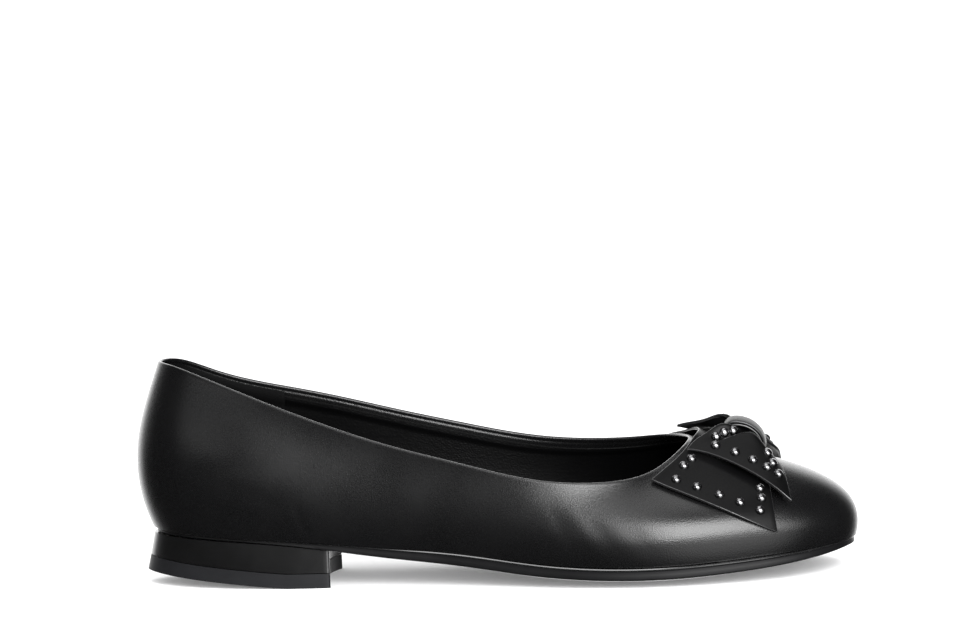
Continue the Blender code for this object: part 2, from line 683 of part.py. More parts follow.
def make_studs(vamp, strips, look):
    mesh = stud_mesh(look)
    wings = (
        ("lower", LOWER_STRIP, LOWER_FORM, LOWER_STUDS),
        ("upper", UPPER_STRIP, UPPER_FORM, UPPER_STUDS),
    )
    for wing, rows, form, studs in wings:
        solid = strips["bow_" + wing].data
        corners = [vertex.co for vertex in solid.vertices]
        tree = BVHTree.FromPolygons(corners, [face.vertices[:] for face in solid.polygons])
        for side_name, side in (("outer", 1.0), ("inner", -1.0)):
            for number, (row, share) in enumerate(studs, start=1):
                foot, normal = stud_place(tree, vamp, rows, form, side, row, share)
                stud = bpy.data.objects.new(f"stud_{wing}_{side_name}_{number}", mesh)
                stud.location = foot
                stud.rotation_mode = "QUATERNION"
                stud.rotation_quaternion = normal.to_track_quat("Z", "Y")
                bpy.context.scene.collection.objects.link(stud)


def make_shoe():
    leather = material("black_leather", (0.012, 0.012, 0.013), 0.42)
    lining = material("black_lining", (0.010, 0.010, 0.010), 0.60)
    sole_rubber = material("sole_rubber", (0.010, 0.010, 0.011), 0.50)
    heel_lacquer = material("heel_lacquer", (0.008, 0.008, 0.009), 0.25)
    wear_rubber = material("wear_rubber", (0.020, 0.021, 0.024), 0.55)
    bow_leather = material("bow_leather", (0.010, 0.010, 0.011), 0.38)
    gunmetal = material("gunmetal", (0.25, 0.25, 0.26), 0.15, 1.0)

    lines = upper_lines(ROUND)
    foot = lines[3]
    make_upper(lines, leather)
    make_outsole(foot, sole_rubber)
    make_insole(foot, lining)

    def under_sole(x):
        return sole_top(x) - sole_edge(x)[0] - GAP

    def block_bottom(x):
        return floor_lift(x) + TOP_PIECE

    def top_piece_top(x):
        return block_bottom(x) - GAP

    plan = heel_outline(foot)
    block = (under_sole, 0.0), (block_bottom, BLOCK_FLARE)
    layer = (top_piece_top, BLOCK_FLARE), (floor_lift, TOP_PIECE_FLARE)
    make_heel_layer("heel_block", plan, heel_lacquer, *block)
    make_heel_layer("top_piece", plan, wear_rubber, *layer)

    vamp = Vamp(wall_grid(lines, WALL_ROWS))
    strips = {}
    for name, rows, (across, along), form in (
        ("bow_lower", LOWER_STRIP, LOWER_STEPS, LOWER_FORM),
        ("bow_upper", UPPER_STRIP, UPPER_STEPS, UPPER_FORM),
    ):
        shares = np.linspace(0.0, 1.0, along)
        grid = strip_grid(vamp, rows, np.linspace(-1.0, 1.0, across), shares, form)
        strips[name] = add_sheet(name, grid, STRIP, bow_leather)
    make_knot(vamp, bow_leather)
    make_studs(vamp, strips, gunmetal)


for old in list(bpy.data.objects):
    bpy.data.objects.remove(old, do_unlink=True)
make_shoe()
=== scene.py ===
"""Looks of a black leather ballet flat for the right foot, on a pale studio floor.

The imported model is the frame: metres, +Z up, toe to +X, outer side of the foot at -Y.
"""
import math

import bmesh
import bpy
import numpy as np
from mathutils import Matrix, Vector
from mathutils.bvhtree import BVHTree


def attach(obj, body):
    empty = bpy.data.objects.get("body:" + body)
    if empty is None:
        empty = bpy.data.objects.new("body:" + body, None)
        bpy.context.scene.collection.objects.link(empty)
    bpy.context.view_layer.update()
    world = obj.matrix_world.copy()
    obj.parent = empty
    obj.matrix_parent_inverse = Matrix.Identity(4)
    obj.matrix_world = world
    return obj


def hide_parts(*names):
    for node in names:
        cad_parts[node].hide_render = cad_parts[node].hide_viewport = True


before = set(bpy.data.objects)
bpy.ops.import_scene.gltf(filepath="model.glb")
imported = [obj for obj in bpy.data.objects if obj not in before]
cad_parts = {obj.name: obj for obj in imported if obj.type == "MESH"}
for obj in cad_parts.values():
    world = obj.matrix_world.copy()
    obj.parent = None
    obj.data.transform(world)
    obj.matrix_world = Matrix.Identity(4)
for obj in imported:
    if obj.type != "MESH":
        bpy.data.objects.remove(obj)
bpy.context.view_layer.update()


# Studio. A pale floor in a white room. The broad softbox on the camera's side draws the highlights
# on the leather, the overhead one softens them, and weaker ones light the quarter, toe and heel.

floor_mesh = bpy.data.meshes.new("floor")
floor_mesh.from_pydata([(-9, -9, 0), (9, -9, 0), (9, 9, 0), (-9, 9, 0)], [], [(0, 1, 2, 3)])
floor = bpy.data.objects.new("floor", floor_mesh)
bpy.context.scene.collection.objects.link(floor)
floor_finish = bpy.data.materials.new("pale_floor")
floor_finish.use_nodes = True
floor_shader = floor_finish.node_tree.nodes["Principled BSDF"]
for socket, value in (
    ("Base Color", (0.86, 0.86, 0.865, 1.0)),
    ("Roughness", 0.9),
    ("Specular IOR Level", 0.1),
    ("Emission Color", (1.0, 1.0, 1.0, 1.0)),
    ("Emission Strength", 0.16),
):
    floor_shader.inputs[socket].default_value = value
floor_mesh.materials.append(floor_finish)

# The room is evenly white for the floor. Polished surfaces see it nearly black, where flags stand,
# but white behind the shoe, and in front a patch of sheen that the floor throws up.
world = bpy.data.worlds.new("studio")
world.use_nodes = True
room = world.node_tree
room_light = room.nodes["Background"]
room_light.inputs["Color"].default_value = (1.0, 1.0, 1.0, 1.0)
room_ways = room.nodes.new("ShaderNodeTexCoord").outputs["Generated"]
ROOM_STRENGTH = 1.25
WHITE_PARTS = (
    # direction, start and end of the fade, strength
    ((-0.20, 0.98, 0.0), (0.62, 0.88), (0.03, 2.90)),
    ((0.485, -0.840, -0.242), (0.85, 0.99), (0.00, 1.70)),
)
strengths = []
for direction, fade, strength in WHITE_PARTS:
    facing = room.nodes.new("ShaderNodeVectorMath")
    facing.operation = "DOT_PRODUCT"
    facing.inputs[1].default_value = direction
    room.links.new(room_ways, facing.inputs[0])
    patch = room.nodes.new("ShaderNodeMapRange")
    patch.interpolation_type = "SMOOTHSTEP"
    for socket, value in zip((1, 2, 3, 4), fade + strength):
        patch.inputs[socket].default_value = value
    room.links.new(facing.outputs["Value"], patch.inputs[0])
    strengths.append(patch.outputs[0])
in_gloss = room.nodes.new("ShaderNodeMath")
room.links.new(strengths[0], in_gloss.inputs[0])
room.links.new(strengths[1], in_gloss.inputs[1])
seen_in_gloss = room.nodes.new("ShaderNodeMix")
seen_in_gloss.inputs[2].default_value = ROOM_STRENGTH
ray_kind = room.nodes.new("ShaderNodeLightPath")
room.links.new(ray_kind.outputs["Is Glossy Ray"], seen_in_gloss.inputs[0])
room.links.new(in_gloss.outputs[0], seen_in_gloss.inputs[3])
room.links.new(seen_in_gloss.outputs[0], room_light.inputs["Strength"])
world.cycles.sampling_method = "NONE"
bpy.context.scene.world = world
floor.visible_glossy = False
bpy.context.scene.view_settings.view_transform = "Standard"

SOFTBOXES = (
    # name, place, aim, width, depth, watts
    ("overhead", (0.02, -0.15, 1.05), (0.08, 0.0, 0.0), 0.72, 1.20, 5.8),
    ("camera_side", (0.48, -0.98, 0.50), (0.10, 0.0, 0.03), 0.78, 0.80, 26.0),
    ("quarter", (-0.70, -0.95, 0.36), (-0.02, 0.0, 0.03), 0.70, 0.24, 0.60),
    ("toe_side", (1.02, -0.80, 0.26), (0.15, 0.0, 0.02), 0.50, 0.44, 2.6),
    ("behind_heel", (-1.10, 0.45, 0.40), (-0.05, 0.0, 0.03), 0.20, 0.80, 0.2),
)
for name, place, aim, width, depth, watts in SOFTBOXES:
    lamp = bpy.data.lights.new(name, "AREA")
    lamp.shape = "RECTANGLE"
    lamp.size, lamp.size_y, lamp.energy = width, depth, watts
    softbox = bpy.data.objects.new(name, lamp)
    softbox.location = place
    softbox.rotation_euler = (Vector(place) - Vector(aim)).to_track_quat("Z", "Y").to_euler()
    bpy.context.scene.collection.objects.link(softbox)

# Camera, from the outer side and a little above and ahead, slightly rolled.
AZIMUTH, ELEVATION, ROLL = np.radians((4.7, 7.0, 2.0))
AIM = np.array([0.06425, 0.0, 0.0364])
AIM_PIXEL = (497.0, 470.0)
IMAGE_WIDTH, IMAGE_HEIGHT = 960.0, 640.0
SENSOR_WIDTH = 36.0
CAMERA_DISTANCE = 2.2
PIXELS_PER_METRE = 2880.0
back = np.array([
    math.sin(AZIMUTH) * math.cos(ELEVATION),
    -math.cos(AZIMUTH) * math.cos(ELEVATION),
    math.sin(ELEVATION),
])
level = np.array([math.cos(AZIMUTH), math.sin(AZIMUTH), 0.0])
upright = np.cross(back, level)
right = math.cos(ROLL) * level - math.sin(ROLL) * upright
up = math.sin(ROLL) * level + math.cos(ROLL) * upright
focal = PIXELS_PER_METRE * CAMERA_DISTANCE
aim_right = (AIM_PIXEL[0] - IMAGE_WIDTH / 2) / focal
aim_down = (AIM_PIXEL[1] - IMAGE_HEIGHT / 2) / focal
to_aim = -back + aim_right * right - aim_down * up
camera_data = bpy.data.cameras.new("camera")
camera_data.sensor_width = SENSOR_WIDTH
camera_data.lens = focal * SENSOR_WIDTH / IMAGE_WIDTH
camera_data.clip_start, camera_data.clip_end = 0.05, 40.0
camera = bpy.data.objects.new("camera", camera_data)
camera.matrix_world = Matrix.Translation(AIM - to_aim * CAMERA_DISTANCE) @ Matrix(
    (right, up, back)
).transposed().to_4x4()
bpy.context.scene.collection.objects.link(camera)
bpy.context.scene.camera = camera


# Upper. One piece of black calf, lasted over the form of the foot and turned in under it, with its
# top edge folded over and down the inside. The leather has a fine pebble, a soft gloss, and a few
# soft creases where it was pulled over the last.

LAST_LENGTH = 0.2427
BALL_WIDTH = 0.0780
BACK_HEIGHT = 0.0580
INSTEP_HEIGHT = 0.0394
SEAT_HEIGHT = 0.0196
TOE_HEIGHT = 0.0107
HEEL_LENGTH = 0.0640
HEEL_FLAT = 0.0151
BACK_X = HEEL_FLAT / 2 - HEEL_LENGTH
WALL = 0.0014
GAP = 0.0003
LASTING_MARGIN = 0.0105
SOLE_THICKNESS = 0.0038
SOLE_PROJECTION = 0.0010
SOLE_CROWN = 0.0038

BOTTOM_PROFILE = (
    # along the last, height, share of
    (0.00, 1.000, SEAT_HEIGHT),
    (0.12, 0.898, SEAT_HEIGHT),
    (0.26, 0.790, SEAT_HEIGHT),
    (0.35, 0.690, SEAT_HEIGHT),
    (0.45, 0.582, SEAT_HEIGHT),
    (0.56, 0.413, SEAT_HEIGHT),
    (0.65, 0.342, SEAT_HEIGHT),
    (0.74, 0.626, TOE_HEIGHT),
    (0.83, 0.720, TOE_HEIGHT),
    (0.92, 0.860, TOE_HEIGHT),
    (1.00, 1.000, TOE_HEIGHT),
)
SOLE_EDGE = (
    # along, thickness, projection, crown
    (0.00, 0.36, -1.20, 0.00),
    (0.20, 0.36, -1.20, 0.00),
    (0.27, 0.62, -0.50, 0.05),
    (0.38, 0.88, 0.10, 0.30),
    (0.48, 1.00, 0.60, 0.70),
    (0.63, 1.00, 1.00, 1.00),
    (0.80, 1.00, 1.00, 0.95),
    (0.92, 0.85, 1.00, 0.50),
    (1.00, 0.62, -0.60, 0.20),
)
SECTIONS = (
    # foot_along, foot_side, top_along, top_side, top_rise, share of, lean, flare, pulls
    (0.000, 0.000, 0.0157, 0.000, 1.000, BACK_HEIGHT, 70, 66, 0.34, 0.42),
    (0.030, -0.162, 0.0380, -0.141, 0.998, BACK_HEIGHT, 72, 66, 0.34, 0.41),
    (0.100, -0.273, 0.0980, -0.244, 0.936, BACK_HEIGHT, 77, 67, 0.35, 0.40),
    (0.210, -0.326, 0.2090, -0.308, 0.778, BACK_HEIGHT, 84, 67, 0.35, 0.40),
    (0.340, -0.346, 0.3400, -0.352, 0.629, BACK_HEIGHT, 86, 66, 0.35, 0.40),
    (0.480, -0.397, 0.4800, -0.404, 0.531, BACK_HEIGHT, 84, 66, 0.35, 0.40),
    (0.610, -0.473, 0.5880, -0.426, 0.728, INSTEP_HEIGHT, 75, 68, 0.36, 0.40),
    (0.735, -0.497, 0.6790, -0.391, 0.744, INSTEP_HEIGHT, 60, 70, 0.38, 0.42),
    (0.860, -0.417, 0.7340, -0.288, 0.825, INSTEP_HEIGHT, 42, 72, 0.40, 0.42),
    (0.955, -0.268, 0.7650, -0.141, 0.943, INSTEP_HEIGHT, 26, 73, 0.46, 0.35),
    (1.008, 0.032, 0.7755, 0.006, 1.000, INSTEP_HEIGHT, 16, 75, 0.51, 0.33),
    (0.960, 0.298, 0.7650, 0.154, 0.988, INSTEP_HEIGHT, 25, 73, 0.46, 0.35),
    (0.870, 0.404, 0.7340, 0.295, 0.957, INSTEP_HEIGHT, 40, 72, 0.40, 0.42),
    (0.750, 0.472, 0.6830, 0.378, 0.916, INSTEP_HEIGHT, 58, 70, 0.38, 0.42),
    (0.620, 0.430, 0.5920, 0.404, 0.891, INSTEP_HEIGHT, 74, 68, 0.36, 0.40),
    (0.480, 0.320, 0.4730, 0.378, 0.627, BACK_HEIGHT, 86, 58, 0.36, 0.42),
    (0.340, 0.273, 0.3400, 0.340, 0.712, BACK_HEIGHT, 86, 56, 0.36, 0.42),
    (0.210, 0.290, 0.2090, 0.301, 0.806, BACK_HEIGHT, 83, 62, 0.36, 0.40),
    (0.100, 0.254, 0.0980, 0.240, 0.903, BACK_HEIGHT, 77, 65, 0.35, 0.40),
    (0.030, 0.154, 0.0380, 0.141, 0.991, BACK_HEIGHT, 72, 65, 0.34, 0.41),
)


def spline(knots, values, at, closed=False):
    """Cubic curve through rows of values at rising knots, with an even bend through each knot; a
    closed one runs from 0 round to 1. Between two knots it is the Hermite blend of both ends."""
    knots, values = np.asarray(knots, float), np.asarray(values, float)
    values = values.reshape(len(knots), -1)
    count = len(knots)
    steps = np.diff(np.append(knots, 1.0 + knots[0]) if closed else knots)
    rises = (np.roll(values, -1, axis=0)[: len(steps)] - values[: len(steps)]) / steps[:, None]
    system, target = np.zeros((count, count)), np.zeros_like(values)
    for i in range(len(steps)):
        j = (i + 1) % count
        system[i, i] += 2.0 / steps[i]
        system[j, j] += 2.0 / steps[i]
        system[i, j] += 1.0 / steps[i]
        system[j, i] += 1.0 / steps[i]
        target[i] += 3.0 * rises[i] / steps[i]
        target[j] += 3.0 * rises[i] / steps[i]
    slopes = np.linalg.solve(system, target)
    at = np.asarray(at, float)
    at = np.mod(at, 1.0) if closed else at
    index = np.clip(np.searchsorted(knots, at, side="right") - 1, 0, len(steps) - 1)
    ahead = (index + 1) % count
    step = steps[index][..., None]
    u = (at - knots[index])[..., None] / step
    return (
        values[index] * (1 - u) ** 2 * (1 + 2 * u)
        + values[ahead] * u**2 * (3 - 2 * u)
        + slopes[index] * step * u * (1 - u) ** 2
        - slopes[ahead] * step * u**2 * (1 - u)
    )


def along_of(x):
    """Share of the last's length at x, from 0 at its back to 1 at its toe."""
    return np.clip((x - BACK_X) / LAST_LENGTH, 0.0, 1.0)


def sole_top(x):
    """Height of the sole's upper edge at x."""
    table = np.array(BOTTOM_PROFILE)
    return spline(table[:, 0], table[:, 1] * table[:, 2], along_of(x))[..., 0]


def sole_edge(x):
    """Thickness, projection and crown of the sole's edge at x."""
    table = np.array(SOLE_EDGE)
    sizes = np.array([SOLE_THICKNESS, SOLE_PROJECTION, SOLE_CROWN])
    return np.moveaxis(spline(table[:, 0], table[:, 1:] * sizes, along_of(x)), -1, 0)


section_table = np.array(SECTIONS)
foot_knots = np.c_[BACK_X + section_table[:, 0] * LAST_LENGTH, section_table[:, 1] * BALL_WIDTH]
top_knots = np.c_[BACK_X + section_table[:, 2] * LAST_LENGTH, section_table[:, 3] * BALL_WIDTH]
walk = np.linalg.norm(np.roll(foot_knots, -1, axis=0) - foot_knots, axis=1)
round_knots = np.concatenate([[0.0], np.cumsum(walk)[:-1]]) / walk.sum()
section_columns = np.c_[
    foot_knots,
    top_knots,
    section_table[:, 4] * section_table[:, 5],
    np.radians(section_table[:, 6:8]),
    section_table[:, 8:],
]


def plan_normal(places, side):
    """Unit normal in plan at places round the shoe: the curve's direction turned outwards."""
    reach = 1.0 / 84.0
    ahead = spline(round_knots, section_columns, places + reach, closed=True)[..., side]
    behind = spline(round_knots, section_columns, places - reach, closed=True)[..., side]
    along = ahead - behind
    normal = np.stack([along[..., 1], -along[..., 0]], axis=-1)
    return normal / np.linalg.norm(normal, axis=-1)[..., None]


def skin(places, shares):
    """The upper's outer skin: places run round the shoe from the back seam, shares down its wall
    from the collar at 0 to the sole at 1. Each section is a cubic Bezier curve whose handles lean
    from the collar and flare from the sole; above the collar it runs on straight."""
    dense = spline(round_knots, section_columns, places, closed=True)
    foot_height = sole_top(dense[..., 0]) + GAP
    foot = np.concatenate([dense[..., 0:2], foot_height[..., None]], axis=-1)
    top_height = sole_top(dense[..., 2]) + dense[..., 4]
    top = np.concatenate([dense[..., 2:4], top_height[..., None]], axis=-1)
    lean, flare = dense[..., 5:6], dense[..., 6:7]
    chord = np.linalg.norm(top - foot, axis=-1)[..., None]
    outward_top = plan_normal(places, slice(2, 4)) * np.cos(lean)
    outward_foot = plan_normal(places, slice(0, 2)) * np.cos(flare)
    top_pull = top + np.concatenate([outward_top, -np.sin(lean)], -1) * dense[..., 7:8] * chord
    foot_pull = foot + np.concatenate([outward_foot, np.sin(flare)], -1) * dense[..., 8:9] * chord

    def bezier(share):
        rest = 1.0 - share
        return (
            rest**3 * top
            + 3 * rest**2 * share * top_pull
            + 3 * rest * share**2 * foot_pull
            + share**3 * foot
        )

    shares = np.asarray(shares, float)[..., None]
    past = np.clip(-shares, 0.0, None) * 10.0
    return bezier(np.clip(shares, 0.0, 1.0)) + past * (bezier(0.0) - bezier(0.1))


def ring_normals(grid):
    """Outward unit normals of rows that close round the shoe: the cross product of the way down
    and the way round."""
    around = np.roll(grid, -1, axis=1) - np.roll(grid, 1, axis=1)
    down = np.gradient(grid, axis=0)
    normals = np.cross(down, around)
    return normals / np.linalg.norm(normals, axis=-1)[..., None]


# Each crease is a soft trough in side view: a Gaussian across its width and along its length.
CREASES = (
    # side of the foot, x, z, length, width, angle in degrees, depth
    ("outer", -0.0015, 0.0235, 0.0060, 0.0010, 108, 0.00016),
    ("outer", -0.0290, 0.0420, 0.0200, 0.0040, 8, 0.00012),
    ("outer", -0.0180, 0.0330, 0.0160, 0.0030, 160, 0.00010),
    ("outer", 0.0885, 0.0215, 0.0080, 0.0022, 118, 0.00009),
    ("outer", 0.0960, 0.0200, 0.0080, 0.0022, 122, -0.00007),
    ("outer", 0.1030, 0.0185, 0.0080, 0.0024, 126, 0.00009),
    ("outer", 0.1150, 0.0180, 0.0100, 0.0030, 130, 0.00006),
    ("inner", 0.0850, 0.0210, 0.0120, 0.0024, 70, 0.00018),
    ("inner", 0.0980, 0.0220, 0.0120, 0.0024, 95, 0.00018),
    ("inner", -0.0150, 0.0360, 0.0180, 0.0035, 15, 0.00012),
)


def crease_depth(points):
    """How far the leather dips at each point: the sum of the creases on its side of the foot."""
    depth = np.zeros(points.shape[:-1])
    for side, x, z, length, width, angle, deepest in CREASES:
        turn = math.radians(angle)
        east, north = points[..., 0] - x, points[..., 2] - z
        along = (east * math.cos(turn) + north * math.sin(turn)) / length
        across = (-east * math.sin(turn) + north * math.cos(turn)) / width
        hand = -1.0 if side == "outer" else 1.0
        mask = np.clip(points[..., 1] * hand / 0.010, 0.0, 1.0)
        depth += deepest * mask * np.exp(-(along**2) - across**2)
    return depth


def inward_way(foot):
    """The way in plan from each point of the foot line to the shoe's middle line."""
    half = len(foot) // 2
    reach = BALL_WIDTH / 2
    middle_x = np.clip(foot[:, 0], foot[0, 0] + reach, foot[half, 0] - reach)
    outer_y = np.interp(middle_x, foot[: half + 1, 0], foot[: half + 1, 1])
    inner_y = np.interp(middle_x, foot[:half:-1, 0], foot[:half:-1, 1])
    return np.c_[middle_x, (outer_y + inner_y) / 2] - foot[:, :2]


def foot_ring(foot, inset):
    """The foot line drawn in by an inset, and how far in it is as a share of its inward way."""
    inward = inward_way(foot)
    distance = np.linalg.norm(inward, axis=1)
    share = np.broadcast_to(inset, distance.shape) / distance
    return foot[:, :2] + inward * share[:, None], share


def bottom_ring(foot, inset, lift=0.0):
    """A ring on the last's bottom: the foot line drawn in, and as low as the crosswise crown."""
    ring, share = foot_ring(foot, inset)
    crown = sole_edge(ring[:, 0])[2]
    depth = crown * (1.0 - (1.0 - np.clip(share, 0.0, 1.0)) ** 2)
    return np.c_[ring, sole_top(ring[:, 0]) - depth + lift]


def add_piece(name, points, faces, finishes, smooth_angle=45.0):
    """A mesh object at the origin from points and faces, smooth but for its sharp corners."""
    mesh = bpy.data.meshes.new(name)
    mesh.from_pydata(np.asarray(points).reshape(-1, 3).tolist(), [], np.asarray(faces).tolist())
    mesh.validate()
    mesh.shade_smooth()
    mesh.set_sharp_from_angle(angle=math.radians(smooth_angle))
    for finish in finishes:
        mesh.materials.append(finish)
    piece = bpy.data.objects.new(name, mesh)
    bpy.context.scene.collection.objects.link(piece)
    return piece


def mend(piece, distance, close_holes=False):
    """Merges the piece's points nearer than a distance, drops what this leaves without an area,
    closes its holes if asked and turns its faces outwards."""
    build = bmesh.new()
    build.from_mesh(piece.data)
    bmesh.ops.remove_doubles(build, verts=build.verts, dist=distance)
    bmesh.ops.dissolve_degenerate(build, edges=build.edges, dist=distance / 2)
    if close_holes:
        bmesh.ops.holes_fill(build, edges=[edge for edge in build.edges if edge.is_boundary])
    bmesh.ops.recalc_face_normals(build, faces=build.faces)
    build.to_mesh(piece.data)
    build.free()


def tube_faces(rings, count, closed_along=True):
    """Quads between rings that close round: each point with its neighbours on the next ring. The
    last ring joins the first where the surface closes along too."""
    index = np.arange(rings * count).reshape(rings, count)
    ahead = np.roll(index, -1, axis=0) if closed_along else index[1:]
    here = index if closed_along else index[:-1]
    return np.stack(
        [here, np.roll(here, -1, axis=1), np.roll(ahead, -1, axis=1), ahead], axis=-1
    ).reshape(-1, 4)


class Shade:
    """A socket in a material's node tree. Sums and products of it add Math nodes."""

    def __init__(self, tree, socket=None):
        self.tree = tree
        self.socket = socket

    def node(self, kind, inputs, out=0, **settings):
        """Adds a node: settings first, then the values or links of its sockets."""
        made = self.tree.nodes.new("ShaderNode" + kind)
        for key, value in settings.items():
            setattr(made, key, value)
        for key, value in inputs.items():
            if isinstance(value, Shade):
                self.tree.links.new(value.socket, made.inputs[key])
            else:
                made.inputs[key].default_value = value
        return Shade(self.tree, made.outputs[out])

    def maths(self, operation, first, second):
        return self.node("Math", {0: first, 1: second}, operation=operation)

    def __add__(self, other):
        return self.maths("ADD", self, other)

    def __radd__(self, other):
        return self.maths("ADD", other, self)

    def __sub__(self, other):
        return self.maths("SUBTRACT", self, other)

    def __rsub__(self, other):
        return self.maths("SUBTRACT", other, self)

    def __mul__(self, other):
        return self.maths("MULTIPLY", self, other)

    def noise(self, scale, detail=2.0):
        """Noise that is fixed to the piece and has this many waves in a metre."""
        place = self.node("TexCoord", {}, out=3)
        return self.node("TexNoise", {"Vector": place, "Scale": scale, "Detail": detail})

    def between(self, low, high):
        """0 below low, 1 above high and smooth between."""
        return self.node(
            "MapRange", {0: self, 1: low, 2: high}, interpolation_type="SMOOTHSTEP", clamp=True
        )

    def tint(self, dark, light):
        """The colour from dark at 0 to light at 1."""
        return self.node(
            "Mix", {0: self, 6: (*dark, 1.0), 7: (*light, 1.0)}, out=2, data_type="RGBA"
        )


def new_finish(name, **constants):
    """A material and its shader, with values for the sockets that are the same all over."""
    finish = bpy.data.materials.new(name)
    finish.use_nodes = True
    shader = finish.node_tree.nodes["Principled BSDF"]
    for key, value in constants.items():
        shader.inputs[key.replace("_", " ")].default_value = value
    return finish, Shade(finish.node_tree), shader


def connect(shade, shader, **links):
    """Links shades to the shader's sockets by name."""
    for key, value in links.items():
        shade.tree.links.new(value.socket, shader.inputs[key.replace("_", " ")])


def leather_finish(name, dark, light, pebble, depth, gloss, specular):
    """Dyed calf: pebbles a fixed size wide with dark cracks between them, fine pores over them,
    lengthwise wrinkles, and patches that are a little more or less polished."""
    finish, shade, shader = new_finish(name, Specular_IOR_Level=specular)
    place = shade.node("TexCoord", {}, out=3)
    warp = shade.node("TexNoise", {"Vector": place, "Scale": 420.0, "Detail": 2.0}, out=1)
    moved = shade.node("VectorMath", {0: warp, "Scale": pebble * 0.35}, operation="SCALE")
    moved = shade.node("VectorMath", {0: place, 1: moved}, operation="ADD")
    cells = shade.node(
        "TexVoronoi",
        {"Vector": moved, "Scale": 1.0 / pebble, "Smoothness": 0.35},
        feature="SMOOTH_F1",
    )
    pores = shade.noise(2.2 / pebble, 3.0)
    patches = shade.noise(45.0, 3.0)
    along = shade.node("VectorMath", {0: place, 1: (0.30, 0.30, 1.6)}, operation="MULTIPLY")
    pulls = shade.node("TexNoise", {"Vector": along, "Scale": 0.5 / pebble, "Detail": 2.0})
    pebbled = 1.0 - cells.between(0.15, 0.75)
    height = pebbled * 0.50 + pores * 0.40 + pulls * 0.80
    bump = shade.node("Bump", {"Strength": 1.0, "Distance": depth, "Height": height})
    colour = (patches * 0.55 + pebbled * 0.45).tint(dark, light)
    rough = gloss + (patches - 0.5) * 0.14 + (1.0 - pebbled) * 0.06
    connect(shade, shader, Base_Color=colour, Roughness=rough, Normal=bump)
    return finish


upper_calf = leather_finish(
    "upper_calf",
    (0.0014, 0.0014, 0.0015),
    (0.0030, 0.0030, 0.0033),
    pebble=0.00045,
    depth=0.000026,
    gloss=0.25,
    specular=0.50,
)

ROUND_COLUMNS = 420
WALL_ROWS = 64
LEATHER = 0.0008
FOLD_DEPTH = 0.0047

round_places = np.arange(ROUND_COLUMNS) / ROUND_COLUMNS
wall_shares = np.linspace(0.0, 1.0, WALL_ROWS)
plain_skin = skin(*np.meshgrid(round_places, wall_shares))
plain_normals = ring_normals(plain_skin)
fade = np.clip(np.minimum(wall_shares / 0.08, (1.0 - wall_shares) / 0.06), 0.0, 1.0)[:, None]
outer_face = plain_skin - plain_normals * (crease_depth(plain_skin) * fade)[..., None]
foot_line = plain_skin[-1]
down_way = np.linalg.norm(np.diff(plain_skin, axis=0), axis=2)
down_length = np.vstack([np.zeros(ROUND_COLUMNS), np.cumsum(down_way, axis=0)])


def at_depth(distance, depth):
    """Points a distance down the wall from the collar edge and a depth in from its outer skin."""
    distance = np.broadcast_to(distance, ROUND_COLUMNS)
    rows = np.arange(WALL_ROWS)
    row = np.array([
        np.interp(far, lengths, rows) for far, lengths in zip(distance, down_length.T)
    ])
    low = np.clip(row.astype(int), 0, WALL_ROWS - 2)
    rest = (row - low)[:, None]
    column = np.arange(ROUND_COLUMNS)
    point = plain_skin[low, column] * (1 - rest) + plain_skin[low + 1, column] * rest
    normal = plain_normals[low, column] * (1 - rest) + plain_normals[low + 1, column] * rest
    return point - normal * np.reshape(depth, (-1, 1))


# The folded edge is half an ellipse over the wall, then a shallow groove where the fold was
# hammered flat, and the turned-in leather down to its cut edge.
edge_turns = np.linspace(0.0, math.pi, 11)[1:-1]
rise_way = plain_skin[0] - plain_skin[1]
rise_way /= np.linalg.norm(rise_way, axis=1)[:, None]
edge_middle = plain_skin[0] - plain_normals[0] * WALL / 2
fold_rings = [
    edge_middle
    + plain_normals[0] * math.cos(turn) * WALL / 2
    + rise_way * math.sin(turn) * WALL * 0.45
    for turn in edge_turns
]
FOLD_INSIDE = (
    # distance below the edge, depth from the outer skin
    (0.0003, WALL * 1.00),
    (0.0008, WALL * 0.94),
    (0.0011, WALL * 0.90),
    (0.0014, WALL * 1.00),
    (0.0020, WALL * 1.02),
    (0.0027, WALL * 0.98),
    (FOLD_DEPTH - 0.0001, WALL * 0.96),
    (FOLD_DEPTH, LEATHER),
)
inner_rings = [at_depth(distance, depth) for distance, depth in FOLD_INSIDE]
wall_length = down_length[-1]
for share in np.linspace(0.0, 1.0, 24)[1:]:
    distance = FOLD_DEPTH * 1.1 + (wall_length - FOLD_DEPTH * 1.1) * share
    inner_rings.append(at_depth(distance, LEATHER))
margin_rings = [
    bottom_ring(foot_line, inset, GAP) for inset in (0.0008, 0.0025, LASTING_MARGIN)
]
margin_back = [
    bottom_ring(foot_line, LASTING_MARGIN, GAP + LEATHER),
    bottom_ring(foot_line, 0.0022, GAP + LEATHER),
]
upper_rings = np.concatenate([
    np.array(fold_rings[::-1]), outer_face, np.array(margin_rings), np.array(margin_back),
    np.array(inner_rings[-2::-1]),
])
upper = add_piece(
    "upper_leather", upper_rings, tube_faces(len(upper_rings), ROUND_COLUMNS), [upper_calf], 60.0
)
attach(upper, "root")
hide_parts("upper")


# Lining. Thin black leather glued inside the upper; its cut edge lies 3 mm under the collar, over
# the turned-in fold, and is stitched down.

